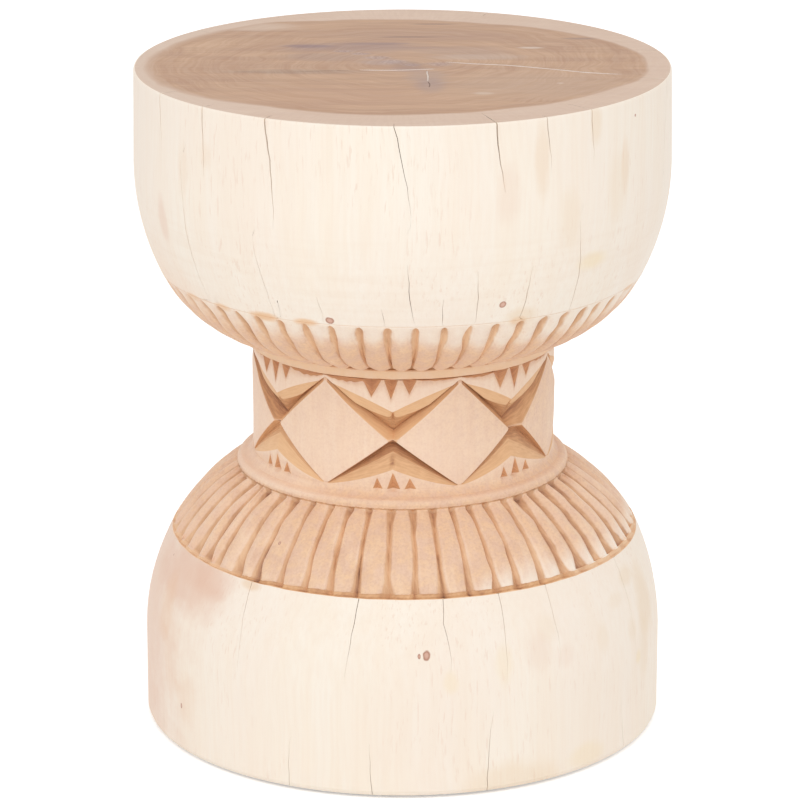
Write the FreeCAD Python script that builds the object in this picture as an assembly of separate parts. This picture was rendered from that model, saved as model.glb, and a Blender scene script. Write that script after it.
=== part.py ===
import FreeCAD, Part
import math
import os

# Carved side table in millimetres: one log with a bowl, a carved waist and a round foot.
# Z is up, the origin lies on the floor under the middle, and the front faces -Y.
# Angles count from the front, and grow towards +X.

# Heights of the log's stretches, from its underside to its top
foot_height = 131.5
lower_band_height = 44.5
ring_height = 12.5
waist_height = 74.7
bead_height = 6.1
upper_band_height = 44.5
bowl_height = 134.7

# Foot: a straight side that rounds over to the lower band
foot_radius = 175.3
foot_side_height = 62.0
foot_rounding = 4.0
shoulder_inset = 17.6
shoulder_bulge = 4.1

# Waist, and the ring and the bead that frame it
waist_radius = 102.3
ring_reach = 10.2
roll_reach = 5.0
roll_height = 6.0
roll_bulge = 1.6
cove_bulge = 1.2
bead_reach = 3.2
undercut_height = 2.2
undercut_depth = 1.2

# Bowl: its belly is the widest place, and its side closes in a little towards the rim
belly_radius = 178.5
belly_height = 71.0
rim_inset = 1.0
rim_rounding = 1.2
bowl_root_reach = 6.0
bowl_root_inset = 16.7
bowl_bulge = 4.1

# Fluted bands: gouged grooves with ribs between them
lower_band_bulge = 4.1
lower_groove_count = 54
lower_groove_depth = 2.6
lower_groove_turn_share = 0.28
upper_band_bulge = 7.4
upper_groove_count = 58
upper_groove_depth = 2.8
upper_groove_turn_share = 0.28

# Diamonds round the waist: their side corners nearly meet, and lie below the middle
diamond_count = 7
diamond_first_angle = -29.5
corner_height = 32.0
corner_overlap = 3.0
diamond_rise = 37.5
diamond_fall = 31.6

# Pits between the diamonds, above and below each pair of corners
pit_depth = 9.5
pit_height = 3.5
tongue_height = 19.8

# Chip notches in the fields above and below the pits
notch_spacing = 12.0
notch_width = 9.4
notch_depth = 3.6
side_notch_height = 11.0
middle_notch_height = 14.2
lower_notch_height_share = 0.78
lower_notch_size_share = 0.85

# Fillers in the checks of the top, as places on the rim's radius
filler_width = 1.7
branch_filler_width = 1.1
filler_depth = 8.0
long_check_shares = [(0.157, 0.041), (0.256, 0.010), (0.362, -0.010), (0.454, -0.041),
                     (0.570, -0.090), (0.681, -0.140), (0.811, -0.171)]
short_check_shares = [(-0.161, -0.095), (-0.083, -0.102), (-0.010, -0.099), (0.064, -0.088),
                      (0.120, -0.078)]
branch_check_shares = [(0.091, -0.112), (0.090, -0.150), (0.093, -0.202), (0.092, -0.285)]

# Floor glides, nailed into shallow seats under the foot
glide_count = 4
glide_first_angle = 45.0
glide_inset = 46.0
glide_stand_off = 1.5
glide_seat_depth = 4.0
glide_clearance = 0.3
cup_radius = 12.5
cup_wall = 1.4
cup_roof = 2.4
cup_rim_lift = 0.9
felt_clearance = 0.2
nail_radius = 1.1
nail_head_radius = 3.0
nail_head_height = 1.0
nail_length = 18.0
nail_clearance = 0.1

# How far a cutter runs past the wood, and how much wider it gets on the way out
overrun = 5.0
cutter_reach = 1.7
cutter_taper = 0.5

# Heights worked out from the stack
foot_bottom = glide_stand_off
foot_top = foot_bottom + foot_height
ring_bottom = foot_top + lower_band_height
waist_bottom = ring_bottom + ring_height
waist_top = waist_bottom + waist_height
bead_top = waist_top + bead_height
bowl_bottom = bead_top + upper_band_height
top_height = bowl_bottom + bowl_height
meeting_height = waist_bottom + corner_height

# Radii worked out from the waist, the foot and the belly
shoulder_radius = foot_radius - shoulder_inset
ring_radius = waist_radius + ring_reach
roll_radius = waist_radius + roll_reach
bead_radius = waist_radius + bead_reach
bowl_root_radius = waist_radius + bowl_root_reach
bowl_edge_radius = belly_radius - bowl_root_inset
rim_radius = belly_radius - rim_inset


def place(radius, angle, height):
    """A point at a radius, an angle in degrees from the front, and a height."""
    turn = math.radians(angle)
    return FreeCAD.Vector(radius * math.sin(turn), -radius * math.cos(turn), height)


def outline(radius, height):
    """A point of the log's outline, in the plane where Y is zero."""
    return FreeCAD.Vector(radius, 0, height)


def bulged(start, end, bulge):
    """An arc between two outline points that stands out to the right of its chord by the bulge."""
    chord = end - start
    out = FreeCAD.Vector(chord.z, 0, -chord.x).normalize()
    middle = (start + end) / 2 + out * bulge
    return Part.Arc(start, middle, end).toShape()


def line(start, end):
    return Part.LineSegment(start, end).toShape()


def spun(edges, turn=360):
    """A solid turned about the table's own axis."""
    face = Part.Face(Part.Wire(edges))
    return face.revolve(FreeCAD.Vector(), FreeCAD.Vector(0, 0, 1), turn)


def solid(faces):
    """A solid from the corner lists of its flat faces."""
    sides = [Part.Face(Part.makePolygon(corners + corners[:1])) for corners in faces]
    block = Part.Solid(Part.Shell(sides))
    if block.Volume < 0:
        block.reverse()
    return block


def drum(radius, height, where):
    """An upright cylinder that stands on the given point."""
    return Part.makeCylinder(radius, height, where)


def log_blank():
    """The log as it is shaped before the carving: every stretch of its outline, spun."""
    centre_low = outline(0, foot_bottom)
    foot_edge_in = outline(foot_radius - foot_rounding, foot_bottom)
    foot_edge_out = outline(foot_radius, foot_bottom + foot_rounding)
    foot_side = outline(foot_radius, foot_bottom + foot_side_height)
    shoulder = outline(shoulder_radius, foot_top)
    ring_edge = outline(ring_radius, ring_bottom)
    roll_edge = outline(roll_radius, ring_bottom + roll_height)
    waist_low = outline(waist_radius, waist_bottom)
    waist_high = outline(waist_radius, waist_top - undercut_height)
    undercut_low = outline(waist_radius - undercut_depth, waist_top - undercut_height)
    undercut_high = outline(waist_radius - undercut_depth, waist_top)
    bead_low = outline(bead_radius, waist_top)
    bead_high = outline(bead_radius, bead_top)
    bowl_root = outline(bowl_root_radius, bead_top)
    bowl_edge = outline(bowl_edge_radius, bowl_bottom)
    belly = outline(belly_radius, bowl_bottom + belly_height)
    rim_low = outline(rim_radius, top_height - rim_rounding)
    rim_in = outline(rim_radius - rim_rounding, top_height)
    centre_high = outline(0, top_height)
    quarter_bulge_share = (math.sqrt(2) - 1) / 2 * math.sqrt(2)
    return spun([
        line(centre_low, foot_edge_in),
        bulged(foot_edge_in, foot_edge_out, foot_rounding * quarter_bulge_share),
        line(foot_edge_out, foot_side),
        bulged(foot_side, shoulder, shoulder_bulge),
        bulged(shoulder, ring_edge, lower_band_bulge),
        bulged(ring_edge, roll_edge, roll_bulge),
        bulged(roll_edge, waist_low, -cove_bulge),
        line(waist_low, waist_high),
        line(waist_high, undercut_low),
        line(undercut_low, undercut_high),
        line(undercut_high, bead_low),
        line(bead_low, bead_high),
        line(bead_high, bowl_root),
        bulged(bowl_root, bowl_edge, upper_band_bulge),
        bulged(bowl_edge, belly, bowl_bulge),
        line(belly, rim_low),
        bulged(rim_low, rim_in, rim_rounding * quarter_bulge_share),
        line(rim_in, centre_high),
        line(centre_high, centre_low)])


def groove(start, end, bulge, depth, turn):
    """One gouged groove: a thin slice of the band, as deep as the cut, turned by its width."""
    chord = end - start
    out = FreeCAD.Vector(chord.z, 0, -chord.x).normalize()
    floor_start = start - out * depth
    floor_end = end - out * depth
    air_start = start + out * overrun
    air_end = end + out * overrun
    cutter = spun([
        bulged(floor_start, floor_end, bulge),
        line(floor_end, air_end),
        bulged(air_start, air_end, bulge),
        line(air_start, floor_start)], turn)
    cutter.rotate(FreeCAD.Vector(), FreeCAD.Vector(0, 0, 1), -turn / 2)
    return cutter


def ring_of(cutter, count):
    """Copies of a cutter, evenly round the table."""
    copies = []
    for index in range(count):
        copy = cutter.copy()
        copy.rotate(FreeCAD.Vector(), FreeCAD.Vector(0, 0, 1), 360 / count * index)
        copies.append(copy)
    return copies


def flutes():
    """The grooves of both bands."""
    lower = groove(outline(shoulder_radius, foot_top), outline(ring_radius, ring_bottom),
                   lower_band_bulge, lower_groove_depth,
                   360 / lower_groove_count * lower_groove_turn_share)
    upper = groove(outline(bowl_root_radius, bead_top), outline(bowl_edge_radius, bowl_bottom),
                   upper_band_bulge, upper_groove_depth,
                   360 / upper_groove_count * upper_groove_turn_share)
    return ring_of(lower, lower_groove_count) + ring_of(upper, upper_groove_count)


def pit(angle, side):
    """The pit between two diamonds, above (side 1) or below (side -1) where their corners meet.

    It is deepest next to the meeting corners, and two arms run out of it along the diamonds'
    edges to their top or bottom corners.
    """
    deep = place(waist_radius - pit_depth, angle, meeting_height + side * pit_height)
    corner = place(waist_radius, angle, meeting_height - side * corner_overlap)
    tongue = place(waist_radius, angle, meeting_height + side * tongue_height)
    tip_height = meeting_height + (diamond_rise if side > 0 else -diamond_fall)
    out_low = deep + (corner - deep) * cutter_reach
    out_high = deep + (tongue - deep) * cutter_reach
    faces = []
    for hand in (-1, 1):
        tip_angle = angle + hand * 180 / diamond_count
        tip = place(waist_radius, tip_angle, tip_height)
        tip_low = tip + (out_low - deep) * cutter_taper
        tip_high = tip + (out_high - deep) * cutter_taper
        faces.append([deep, out_low, tip_low, tip])
        faces.append([deep, tip, tip_high, out_high])
        faces.append([out_low, out_high, tip_high, tip_low])
        faces.append([tip, tip_low, tip_high])
    return solid(faces)


def notch(angle, base, height, width):
    """One chip notch: deepest at its base by the bead or the ring, and rising to its point."""
    spread = math.degrees(width / 2 / waist_radius)
    deep = place(waist_radius - notch_depth, angle, base)
    left = place(waist_radius, angle - spread, base)
    right = place(waist_radius, angle + spread, base)
    point = place(waist_radius, angle, base + height)
    far = [deep + (corner - deep) * cutter_reach for corner in (left, right, point)]
    return solid([[deep, far[0], far[1]], [deep, far[1], far[2]], [deep, far[2], far[0]], far])


def waist_carving():
    """Pits and notches, repeated in each gap between the diamonds."""
    cutters = []
    step = math.degrees(notch_spacing / waist_radius)
    field_top = waist_top - undercut_height
    for index in range(diamond_count):
        angle = diamond_first_angle + 180 / diamond_count + 360 / diamond_count * index
        cutters += [pit(angle, 1), pit(angle, -1)]
        for column, height in ((-1, side_notch_height), (0, middle_notch_height),
                               (1, side_notch_height)):
            turn = angle + column * step
            cutters.append(notch(turn, field_top, -height, notch_width))
            cutters.append(notch(angle + column * step * lower_notch_size_share, waist_bottom,
                                 height * lower_notch_height_share,
                                 notch_width * lower_notch_size_share))
    return cutters


def check_strip(shares, width):
    """The filler of one drying check: a thin strip that runs out to a point at both ends."""
    places = [FreeCAD.Vector(x * rim_radius, y * rim_radius, top_height) for x, y in shares]
    left = []
    right = []
    for before, here, after in zip(places, places[1:], places[2:]):
        along = (after - before).normalize()
        across = FreeCAD.Vector(-along.y, along.x, 0) * (width / 2)
        left.append(here + across)
        right.append(here - across)
    corners = [places[0]] + left + [places[-1]] + right[::-1]
    face = Part.Face(Part.makePolygon(corners + corners[:1]))
    strip = face.extrude(FreeCAD.Vector(0, 0, -filler_depth))
    return strip


def glide_places():
    """Where the glides sit, on the floor."""
    angles = [glide_first_angle + 360 / glide_count * index for index in range(glide_count)]
    return [place(foot_radius - glide_inset, angle, 0) for angle in angles]


def up(height):
    return FreeCAD.Vector(0, 0, height)


seat_roof = foot_bottom + glide_seat_depth
cup_roof_bottom = seat_roof - cup_roof


def glide_seat(where):
    """The seat of one glide and the pilot hole of its nail, cut into the foot."""
    seat = drum(cup_radius + glide_clearance, glide_seat_depth + overrun,
                where + up(foot_bottom - overrun))
    pilot = drum(nail_radius + nail_clearance, nail_length + nail_clearance,
                 where + up(cup_roof_bottom))
    return [seat, pilot]


def glide_cup(where):
    """A shallow cup with a roof against the wood, a skirt round the felt and a seat for the nail."""
    cup = drum(cup_radius, seat_roof - cup_rim_lift, where + up(cup_rim_lift))
    room = drum(cup_radius - cup_wall, cup_roof_bottom - cup_rim_lift, where + up(cup_rim_lift))
    shank_hole = drum(nail_radius + nail_clearance, cup_roof, where + up(cup_roof_bottom))
    head_seat = drum(nail_head_radius + nail_clearance, nail_head_height,
                     where + up(cup_roof_bottom))
    return cup.cut(room).cut(shank_hole).cut(head_seat)


def glide_felt(where):
    return drum(cup_radius - cup_wall - felt_clearance, cup_roof_bottom, where)


def glide_nail(where):
    """A nail whose head lies flush in the cup's roof."""
    head = drum(nail_head_radius, nail_head_height, where + up(cup_roof_bottom))
    shank = drum(nail_radius, nail_length, where + up(cup_roof_bottom))
    return head.fuse(shank).removeSplitter()


fillers = {
    "long_check_filler": check_strip(long_check_shares, filler_width),
    "short_check_filler": check_strip(short_check_shares, filler_width),
    "branch_check_filler": check_strip(branch_check_shares, branch_filler_width)}

cutters = flutes() + waist_carving() + list(fillers.values())
for where in glide_places():
    cutters += glide_seat(where)

pieces = {"carved_log": log_blank().cut(cutters)}
pieces.update(fillers)
for number, where in enumerate(glide_places(), 1):
    pieces[f"glide_cup_{number}"] = glide_cup(where)
    pieces[f"glide_felt_{number}"] = glide_felt(where)
pieces["glide_nails"] = Part.makeCompound([glide_nail(where) for where in glide_places()])

os.makedirs("parts", exist_ok=True)
for name, shape in pieces.items():
    shape.exportStep(f"parts/{name}.step")
    print(name, len(shape.Solids), "solid", round(shape.Volume), "mm3", shape.isValid())
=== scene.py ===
import math
import random

import bmesh
import bpy
import numpy as np
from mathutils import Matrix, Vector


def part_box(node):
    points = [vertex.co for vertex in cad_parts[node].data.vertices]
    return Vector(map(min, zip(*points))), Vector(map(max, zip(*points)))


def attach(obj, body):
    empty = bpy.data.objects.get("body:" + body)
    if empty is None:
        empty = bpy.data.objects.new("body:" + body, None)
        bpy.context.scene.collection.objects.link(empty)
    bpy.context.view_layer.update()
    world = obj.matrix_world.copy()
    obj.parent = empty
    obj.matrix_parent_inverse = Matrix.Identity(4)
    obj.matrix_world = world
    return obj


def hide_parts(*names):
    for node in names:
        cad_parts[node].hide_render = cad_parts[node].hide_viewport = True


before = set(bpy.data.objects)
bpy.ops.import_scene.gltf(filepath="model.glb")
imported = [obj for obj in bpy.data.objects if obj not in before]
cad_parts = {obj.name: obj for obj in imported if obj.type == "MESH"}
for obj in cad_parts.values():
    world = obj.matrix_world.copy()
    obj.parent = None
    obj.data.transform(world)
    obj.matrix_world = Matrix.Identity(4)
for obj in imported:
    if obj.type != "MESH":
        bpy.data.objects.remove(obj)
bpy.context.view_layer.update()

# Carved side table: one log with a bowl, a waist of carved diamonds, two fluted bands and a foot.
# Shapes are worked out in millimetres, and each piece is scaled to metres when it is finished.
# Angles are in degrees, count from the front and grow towards +X.
MM = 0.001

# The log's reach, from the frame
log_low, log_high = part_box("carved_log")
foot_bottom = log_low.z / MM
top_height = log_high.z / MM
belly_radius = min(log_high.x, log_high.y, -log_low.x, -log_low.y) / MM

# Heights of the log's stretches
foot_top = 133.0
ring_bottom = 177.5
field_bottom = 188.7
field_top = 263.3
bead_bottom = 264.7
bead_top = 270.8
bowl_bottom = 315.3
belly_height = 386.3

# Radii of the log's stretches, with two heights that belong to them, and roundings
foot_radius = 175.3
foot_side_top = 63.5
foot_rounding = 4.0
shoulder_radius = 157.7
ring_radius = 112.5
roll_radius = 107.3
roll_top = 183.5
waist_radius = 102.3
undercut_radius = 100.7
bead_radius = 105.5
rib_end_radius = 108.3
bowl_edge_radius = 161.8
rim_radius = belly_radius - 1.0
rim_rounding = 1.2
# How far the sides between two points of the outline bulge
shoulder_bulge = 4.1
lower_bulge = 4.1
ring_bulge = 1.6
throat_bulge = -1.0
upper_bulge = 7.4
bowl_bulge = 4.1
# How far the log stands out more to the right between two heights, how far the left of its waist is
# flattened, and how uneven the whole log and its waist are
lopsided = 1.4
lopsided_heights = (80, 176)
flat_left = 1.1
log_unevenness = 0.45
waist_unevenness = 0.16

# Fluted bands
lower_grooves = 54
lower_first_angle = 2.8
lower_groove_depth = 2.2
lower_lean = 0.4
upper_grooves = 58
upper_first_angle = 3.0
upper_groove_depth = 2.7
upper_lean = 0.6
groove_jitter = 0.3
cracked_groove_angles = [-38.8, -10.4, 9.5, 112.0, -163.5]
# Half widths of the grooves as shares of their room, and what flares and scoops add to them
lower_half_width, flare_width = 0.145, 0.10
upper_half_width, scoop_width = 0.07, 0.15
# How far the grooves stand off their even places: angle and drift
lower_drift = [
    (-70, 0), (-64, 0.8), (-57, -0.3), (-50, -2.0), (-44, -1.6), (-37, -1.7), (-30, -0.8),
    (-24, -0.4), (-17, -1.0), (-10, -0.6), (-4, 0), (16, 0.5), (23, 0.4), (30, -0.2), (36, 0)]
upper_drift = [
    (-75, 0), (-62, -1.2), (-50, -1.4), (-45, -1.0), (-39, -1.1), (-34, -1.8), (-27, -1.3),
    (-21, -0.8), (-15, -1.3), (-10, -1.1), (-3, -0.2), (3, 0), (22, 0.35), (35, 0.65),
    (41, 1.1), (47, 0.55), (53, -0.4), (58, 0.5), (65, 0)]

# Rows of the mouldings, from the lowest up: how far each is cut in, how brown it is, and how much
# of it is cut wood
stop_rows = [(0.0, 0.34, 1), (0.8, 0.46, 1), (0.7, 0.34, 1), (0.8, 0.38, 1), (0.3, 0.36, 0)]
crease_rows = [(0.2, 0.34, 0), (0.1, 0.4, 0.6), (0.0, 0.4, 0)]
scribe_rows = [(0.05, 0.14, 0), (0.5, 0.6, 0), (0.0, 0.1, 0)]
# The same for the ring and the bead, without how far they are cut in; their browns are partly
# painted shade in the hollows
ring_browns = [0.46, 0.34, 0.26, 0.26, 0.34, 0.42, 0.48, 0.4]
bead_rows = [(0.5, 1), (0.44, 1), (0.16, 0.26), (0.06, 0.26), (0.0, 0.26), (0.0, 0.26),
             (0.16, 0.26), (0.5, 1)]
# Nicks of the bead: how deep, and how many spreads of the draw one has to lie out
nick_depth = 0.5
nick_rarity = 2.2

# The waist: where the diamonds and the gaps between them lie, and how high their corners are
diamond_angles = [-133.0, -81.0, -29.6, 21.6, 71.0, 123.0, 175.0]
gap_angles = [-159.0, -107.0, -55.0, -3.65, 44.6, 97.0, 149.0]
corner_height = 221.4
corner_half = 0.35
diamond_rise = 38.1
diamond_fall = 32.9
neck_depth = 3.0
pit_depth = 9.5
lower_pit_depth = 9.0
leaf_depth = 2.5
lower_leaf_depth = 3.5
notch_depth = 3.4
strip_height = 2.6

# What each gap has of its own: how far its middle lies from the corners to its left and right, how
# deep its lower pit is and how much painted shade browns it, how far its notches stand off its
# middle, and how tall the strips under the bead are to its left and right
gap_corners = [(2.2, 1.8), (1.8, 2.6), (2.5, 2.1), (1.7, 1.4), (1.5, 6.2), (2.2, 2.8), (2.0, 2.4)]
gap_browns = np.array([0.8, 0.6, 0.35, 1.0, 0.75, 0.7, 0.85])
gap_notch_shifts = [0.0, 0.0, 0.0, 0.0, 2.0, 0.6, -0.5]
gap_strips = [(0.8, 0.5), (0.6, 0.9), (0.8, 1.0), (1.0, 0.4), (0.6, 0.7), (0.8, 0.6), (0.5, 0.9)]
# The gap whose bevels are browner to the left of its middle, and the one where they all are
left_brown_gap, brown_gap = 2, 4

# Chips where two leaves meet below the diamonds: angle, height and, for all, the reach of each
chip_places = [(-3.9, 206.8), (-108.2, 207.6), (149.6, 206.2)]
chip_half_angle, chip_half_height, chip_depth = 1.0, 3.4, 1.0

# Notches of a gap: angles of the base's ends and of the point from the gap's middle, and height
upper_notches = [(-11.1, -7.9, -4.1, 12.2), (-3.4, -0.8, 1.8, 14.1), (3.4, 6.0, 8.8, 9.6)]
lower_notches = [(-7.2, -5.6, -3.5, 7.8), (-2.2, 0.0, 2.7, 11.6), (4.5, 6.5, 8.9, 8.2)]

# Seeds of the random draws
seeds = {"lower notches": 10, "upper notches": 30, "strips": 36, "lower band": 41, "stop": 43,
         "torn edges": 44, "nicks": 46, "bead": 47, "upper band": 51, "foot checks": 61,
         "bowl checks": 62, "whole log": 71, "waist": 72, "long filler": 81, "short filler": 82,
         "branch filler": 83, "hairlines": 90, "felts": 95}

# Drying checks of the bowl and the foot: places as angle and height, width, depth, and how far a
# check that runs in over the top does so
bowl_checks = [
    ([(-61.2, 450), (-60.5, 414)], 0.9, 3.0, 12.0),
    ([(-45.8, 450), (-45.4, 432), (-45.2, 404)], 1.0, 4.0, 9.0),
    ([(-29.1, 450), (-27.4, 409), (-27.0, 382)], 1.0, 4.0, 9.0),
    ([(-52.8, 408), (-51.5, 362), (-51.1, 346), (-49.2, 308)], 0.56, 3.0),
    ([(-32.4, 369), (-31.3, 350), (-29.8, 320)], 0.36, 3.0),
    ([(-18.6, 336), (-17.9, 322)], 0.3, 2.0),
    ([(-1.8, 450), (-0.5, 434), (1.0, 408), (1.9, 391)], 0.46, 4.0, 7.0),
    ([(-4.6, 330), (-3.8, 317)], 0.3, 2.0),
    ([(19.2, 450), (20.2, 421), (21.2, 406)], 0.9, 4.0, 27.0),
    ([(30.7, 450), (31.8, 416)], 0.6, 3.0, 6.0),
    ([(42.3, 450), (42.5, 438), (42.9, 416)], 0.7, 3.0, 22.0),
    ([(75.6, 450), (74.4, 425), (72.6, 392)], 0.6, 4.0, 28.0),
    ([(1.0, 359), (1.4, 340), (2.6, 318)], 0.4, 3.0),
    ([(8.6, 333), (9.0, 317)], 0.36, 2.5),
    ([(15.8, 352), (16.6, 317)], 0.4, 3.0),
    ([(28.0, 353), (27.6, 332), (26.9, 308)], 0.46, 3.0),
    ([(39.0, 378), (40.4, 352), (41.4, 306)], 0.54, 3.0),
    ([(104.0, 450), (105.2, 421), (104.6, 398)], 0.6, 4.0, 11.0),
    ([(122.0, 382), (123.4, 350), (123.0, 318)], 0.4, 3.0),
    ([(137.5, 450), (136.2, 428), (136.8, 405)], 0.44, 3.0, 8.0),
    ([(160.0, 450), (161.5, 410), (163.2, 360), (162.5, 340)], 0.6, 4.0, 16.0),
    ([(-171.0, 371), (-170.0, 345), (-170.8, 318)], 0.4, 3.0),
    ([(-150.0, 450), (-151.3, 425), (-150.6, 410)], 0.44, 3.0, 6.0),
    ([(-127.0, 450), (-126.0, 420), (-127.2, 384)], 0.6, 4.0, 13.0),
    ([(-110.0, 360), (-110.6, 338), (-109.6, 317)], 0.4, 3.0),
    ([(-88.0, 450), (-87.0, 428), (-87.6, 412)], 0.44, 3.0, 7.0)]
foot_checks = [
    ([(-38.9, 133), (-38.6, 110), (-38.3, 77)], 0.4, 3.0),
    ([(-10.4, 133), (-11.2, 111), (-12.6, 85)], 0.42, 3.0),
    ([(-24.6, 39), (-25.3, 19), (-25.0, 2)], 0.36, 2.5),
    ([(-7.2, 35), (-6.5, 2)], 0.36, 2.5),
    ([(9.5, 133), (9.4, 116), (10.5, 99), (10.6, 86)], 0.36, 3.0),
    ([(23.1, 133), (23.4, 110), (23.0, 77)], 0.36, 3.0),
    ([(35.7, 133), (36.6, 99), (36.6, 79)], 0.32, 3.0),
    ([(61.8, 133), (62.2, 106), (63.3, 64)], 0.40, 3.0),
    ([(19.8, 59), (18.7, 33), (18.4, 2)], 0.44, 2.5),
    ([(56.1, 42), (57.7, 2)], 0.36, 2.5),
    ([(88.0, 133), (87.2, 108), (88.4, 84)], 0.4, 3.0),
    ([(112.0, 133), (113.4, 100), (112.6, 52)], 0.5, 3.0),
    ([(131.0, 46), (130.0, 22), (130.6, 2)], 0.36, 2.5),
    ([(150.6, 133), (149.4, 106), (150.2, 78)], 0.4, 3.0),
    ([(171.5, 70), (172.8, 36), (172.0, 2)], 0.4, 3.0),
    ([(-164.0, 133), (-163.2, 100), (-164.4, 70)], 0.44, 3.0),
    ([(-137.6, 133), (-139.0, 104), (-138.2, 90)], 0.4, 3.0),
    ([(-118.0, 52), (-117.0, 24), (-117.6, 2)], 0.36, 2.5),
    ([(-92.0, 133), (-91.2, 102), (-92.4, 66)], 0.4, 3.0),
    ([(-66.0, 30), (-66.8, 2)], 0.3, 2.5)]

long_filler_places = [(27.8, 7.3), (45.4, 1.8), (64.2, -1.8), (80.5, -7.3), (101.1, -16.0),
                      (120.8, -24.8), (143.8, -30.3)]
short_filler_places = [(-28.5, -16.8), (-14.7, -18.1), (-1.8, -17.6), (11.3, -15.6), (21.3, -13.8)]
branch_filler_places = [(16.1, -19.9), (16.0, -26.6), (16.5, -35.8), (16.3, -50.5)]
filler_width = 2.0
branch_filler_width = 1.0
filler_depth = 8.0
filler_slack = 0.2
slot_slack = 0.12
hairlines = [([(-31.0, -17.2), (-54.0, -20.5), (-80.0, -23.6), (-110.0, -22.0)], 0.4),
             ([(16.4, -52.5), (17.6, -60.0), (17.0, -68.0)], 0.4)]
hairline_depth = 3.0

# Floor glides
glide_ring_radius = 129.3
glide_angles = [45.0, 135.0, 225.0, 315.0]
seat_radius = 12.8
seat_depth = 4.0
pilot_radius = 1.25
pilot_depth = 14.5

COLUMNS = 580
SECTORS = 20
column_numbers = np.arange(COLUMNS)
column_spacing = 360 / COLUMNS
even_angles = -180 + column_spacing * column_numbers
even_sines = np.sin(np.radians(even_angles))


def smooth(share):
    """Eases a share from 0 to 1, and holds it there."""
    share = np.clip(share, 0, 1)
    return share * share * (3 - 2 * share)


def round_end(share):
    """Falls from 1 to 0 along a quarter of a circle, as a gouge leaves the wood."""
    return np.sqrt(np.clip(1 - np.clip(share, 0, 1) ** 2, 0, 1))


def ripple(angle, height, turns, per_height, seed, count=10):
    """A soft random wave round the log and along it, from about -1 to 1."""
    draw = random.Random(seed)
    total = 0
    for _ in range(count):
        waves = draw.randint(1, turns)
        climb = draw.uniform(-1, 1) * 2 * math.pi / per_height
        total = total + np.cos(np.radians(angle) * waves + climb * height + draw.uniform(0, 6.28))
    return total / math.sqrt(count)


# Outline of the log

outline_rows = []
zones = {}


def add_zone(name, rows):
    """Keeps the rows of one stretch of the outline, from the floor up, under its name."""
    zones[name] = slice(len(outline_rows), len(outline_rows) + len(rows))
    outline_rows.extend(rows)


def rows_of(name):
    return range(zones[name].start, zones[name].stop)


def stretch(start, end, bulge, shares):
    """Rows on an arc of the outline: radius, height and the outward direction of each."""
    (start_radius, start_height), (end_radius, end_height) = start, end
    along_r, along_z = end_radius - start_radius, end_height - start_height
    length = math.hypot(along_r, along_z)
    along_r, along_z = along_r / length, along_z / length
    side = 1 if bulge >= 0 else -1
    bend = (length ** 2 / 4 + bulge ** 2) / (2 * max(abs(bulge), 1e-6))
    rows = []
    for share in shares:
        step = (share - 0.5) * length
        stand = math.sqrt(bend ** 2 - step ** 2) - bend + abs(bulge)
        out_r = (side * along_r * step + along_z * (stand + bend - abs(bulge))) / bend
        out_z = (side * along_z * step - along_r * (stand + bend - abs(bulge))) / bend
        middle = 0.5 * length + step
        rows.append((start_radius + along_r * middle + along_z * stand * side,
                     start_height + along_z * middle - along_r * stand * side, out_r, out_z))
    return rows


def even(count, low=0.0, high=1.0):
    return list(np.linspace(low, high, count))


def crowded(count, crowding=0.7):
    """Shares from 0 to 1 that lie closer together at both ends."""
    share = np.linspace(0, 1, count)
    return list((1 - crowding) * share + crowding * (1 - np.cos(math.pi * share)) / 2)


def plain(*places):
    """Rows whose outward direction is straight out."""
    return [(radius, height, 1.0, 0.0) for radius, height in places]


# The waist's stretches between two guide lines, from the field's bottom to its top: the places of
# the rows in each, whether they are cut, and how brown they are, with painted shade in the pits,
# the undercut and partly the notches
waist_bands = [
    ("notch", [0, 0.07, 0.5, 0.93], [0, 1, 1, 1], [0.42, 0.45, 0.42, 0.36]),
    ("face", [0, 0.5], [0, 0], [0.28, 0.26]),
    ("leaf", [0, 0.06, 0.35, 0.65, 0.94], [0, 1, 1, 1, 1], [0.22, 0.24, 0.26, 0.28, 0.32]),
    ("pit", [0, 0.06, 0.5, 0.94], [1, 1, 1, 1], [0.26, 0.5, 0.58, 0.62]),
    ("undercut", [0, 0.5, 0.9], [1, 1, 1], [0.64, 0.6, 0.5]),
    ("face", [0, 0.03, 0.25, 0.5, 0.75, 0.97], [0, 0, 0, 0, 0, 0],
     [0.18, 0.16, 0.14, 0.16, 0.18, 0.2]),
    ("bevel", [0, 0.12, 0.6, 0.93], [0, 1, 1, 1], [0.05, 0.12, 0.2, 0.4]),
    ("pit", [0, 0.1, 0.5, 0.94], [1, 1, 1, 1], [0.6, 0.52, 0.46, 0.42]),
    ("leaf", [0, 0.06, 0.5, 0.94], [1, 1, 1, 1], [0.2, 0.16, 0.16, 0.2]),
    ("face", [0, 0.5], [0, 0], [0.03, 0.02]),
    ("notch", [0, 0.07, 0.5, 1.0], [0, 1, 1, 1], [0.4, 0.43, 0.45, 0.45])]
waist_row_count = sum(len(shares) for _, shares, _, _ in waist_bands)
# Which of them holds the diamonds' faces, how many strokes of the gouge each takes, and the least
# room between two rows
diamond_band = 5
band_strokes = 7.0
least_step = 0.07


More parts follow.
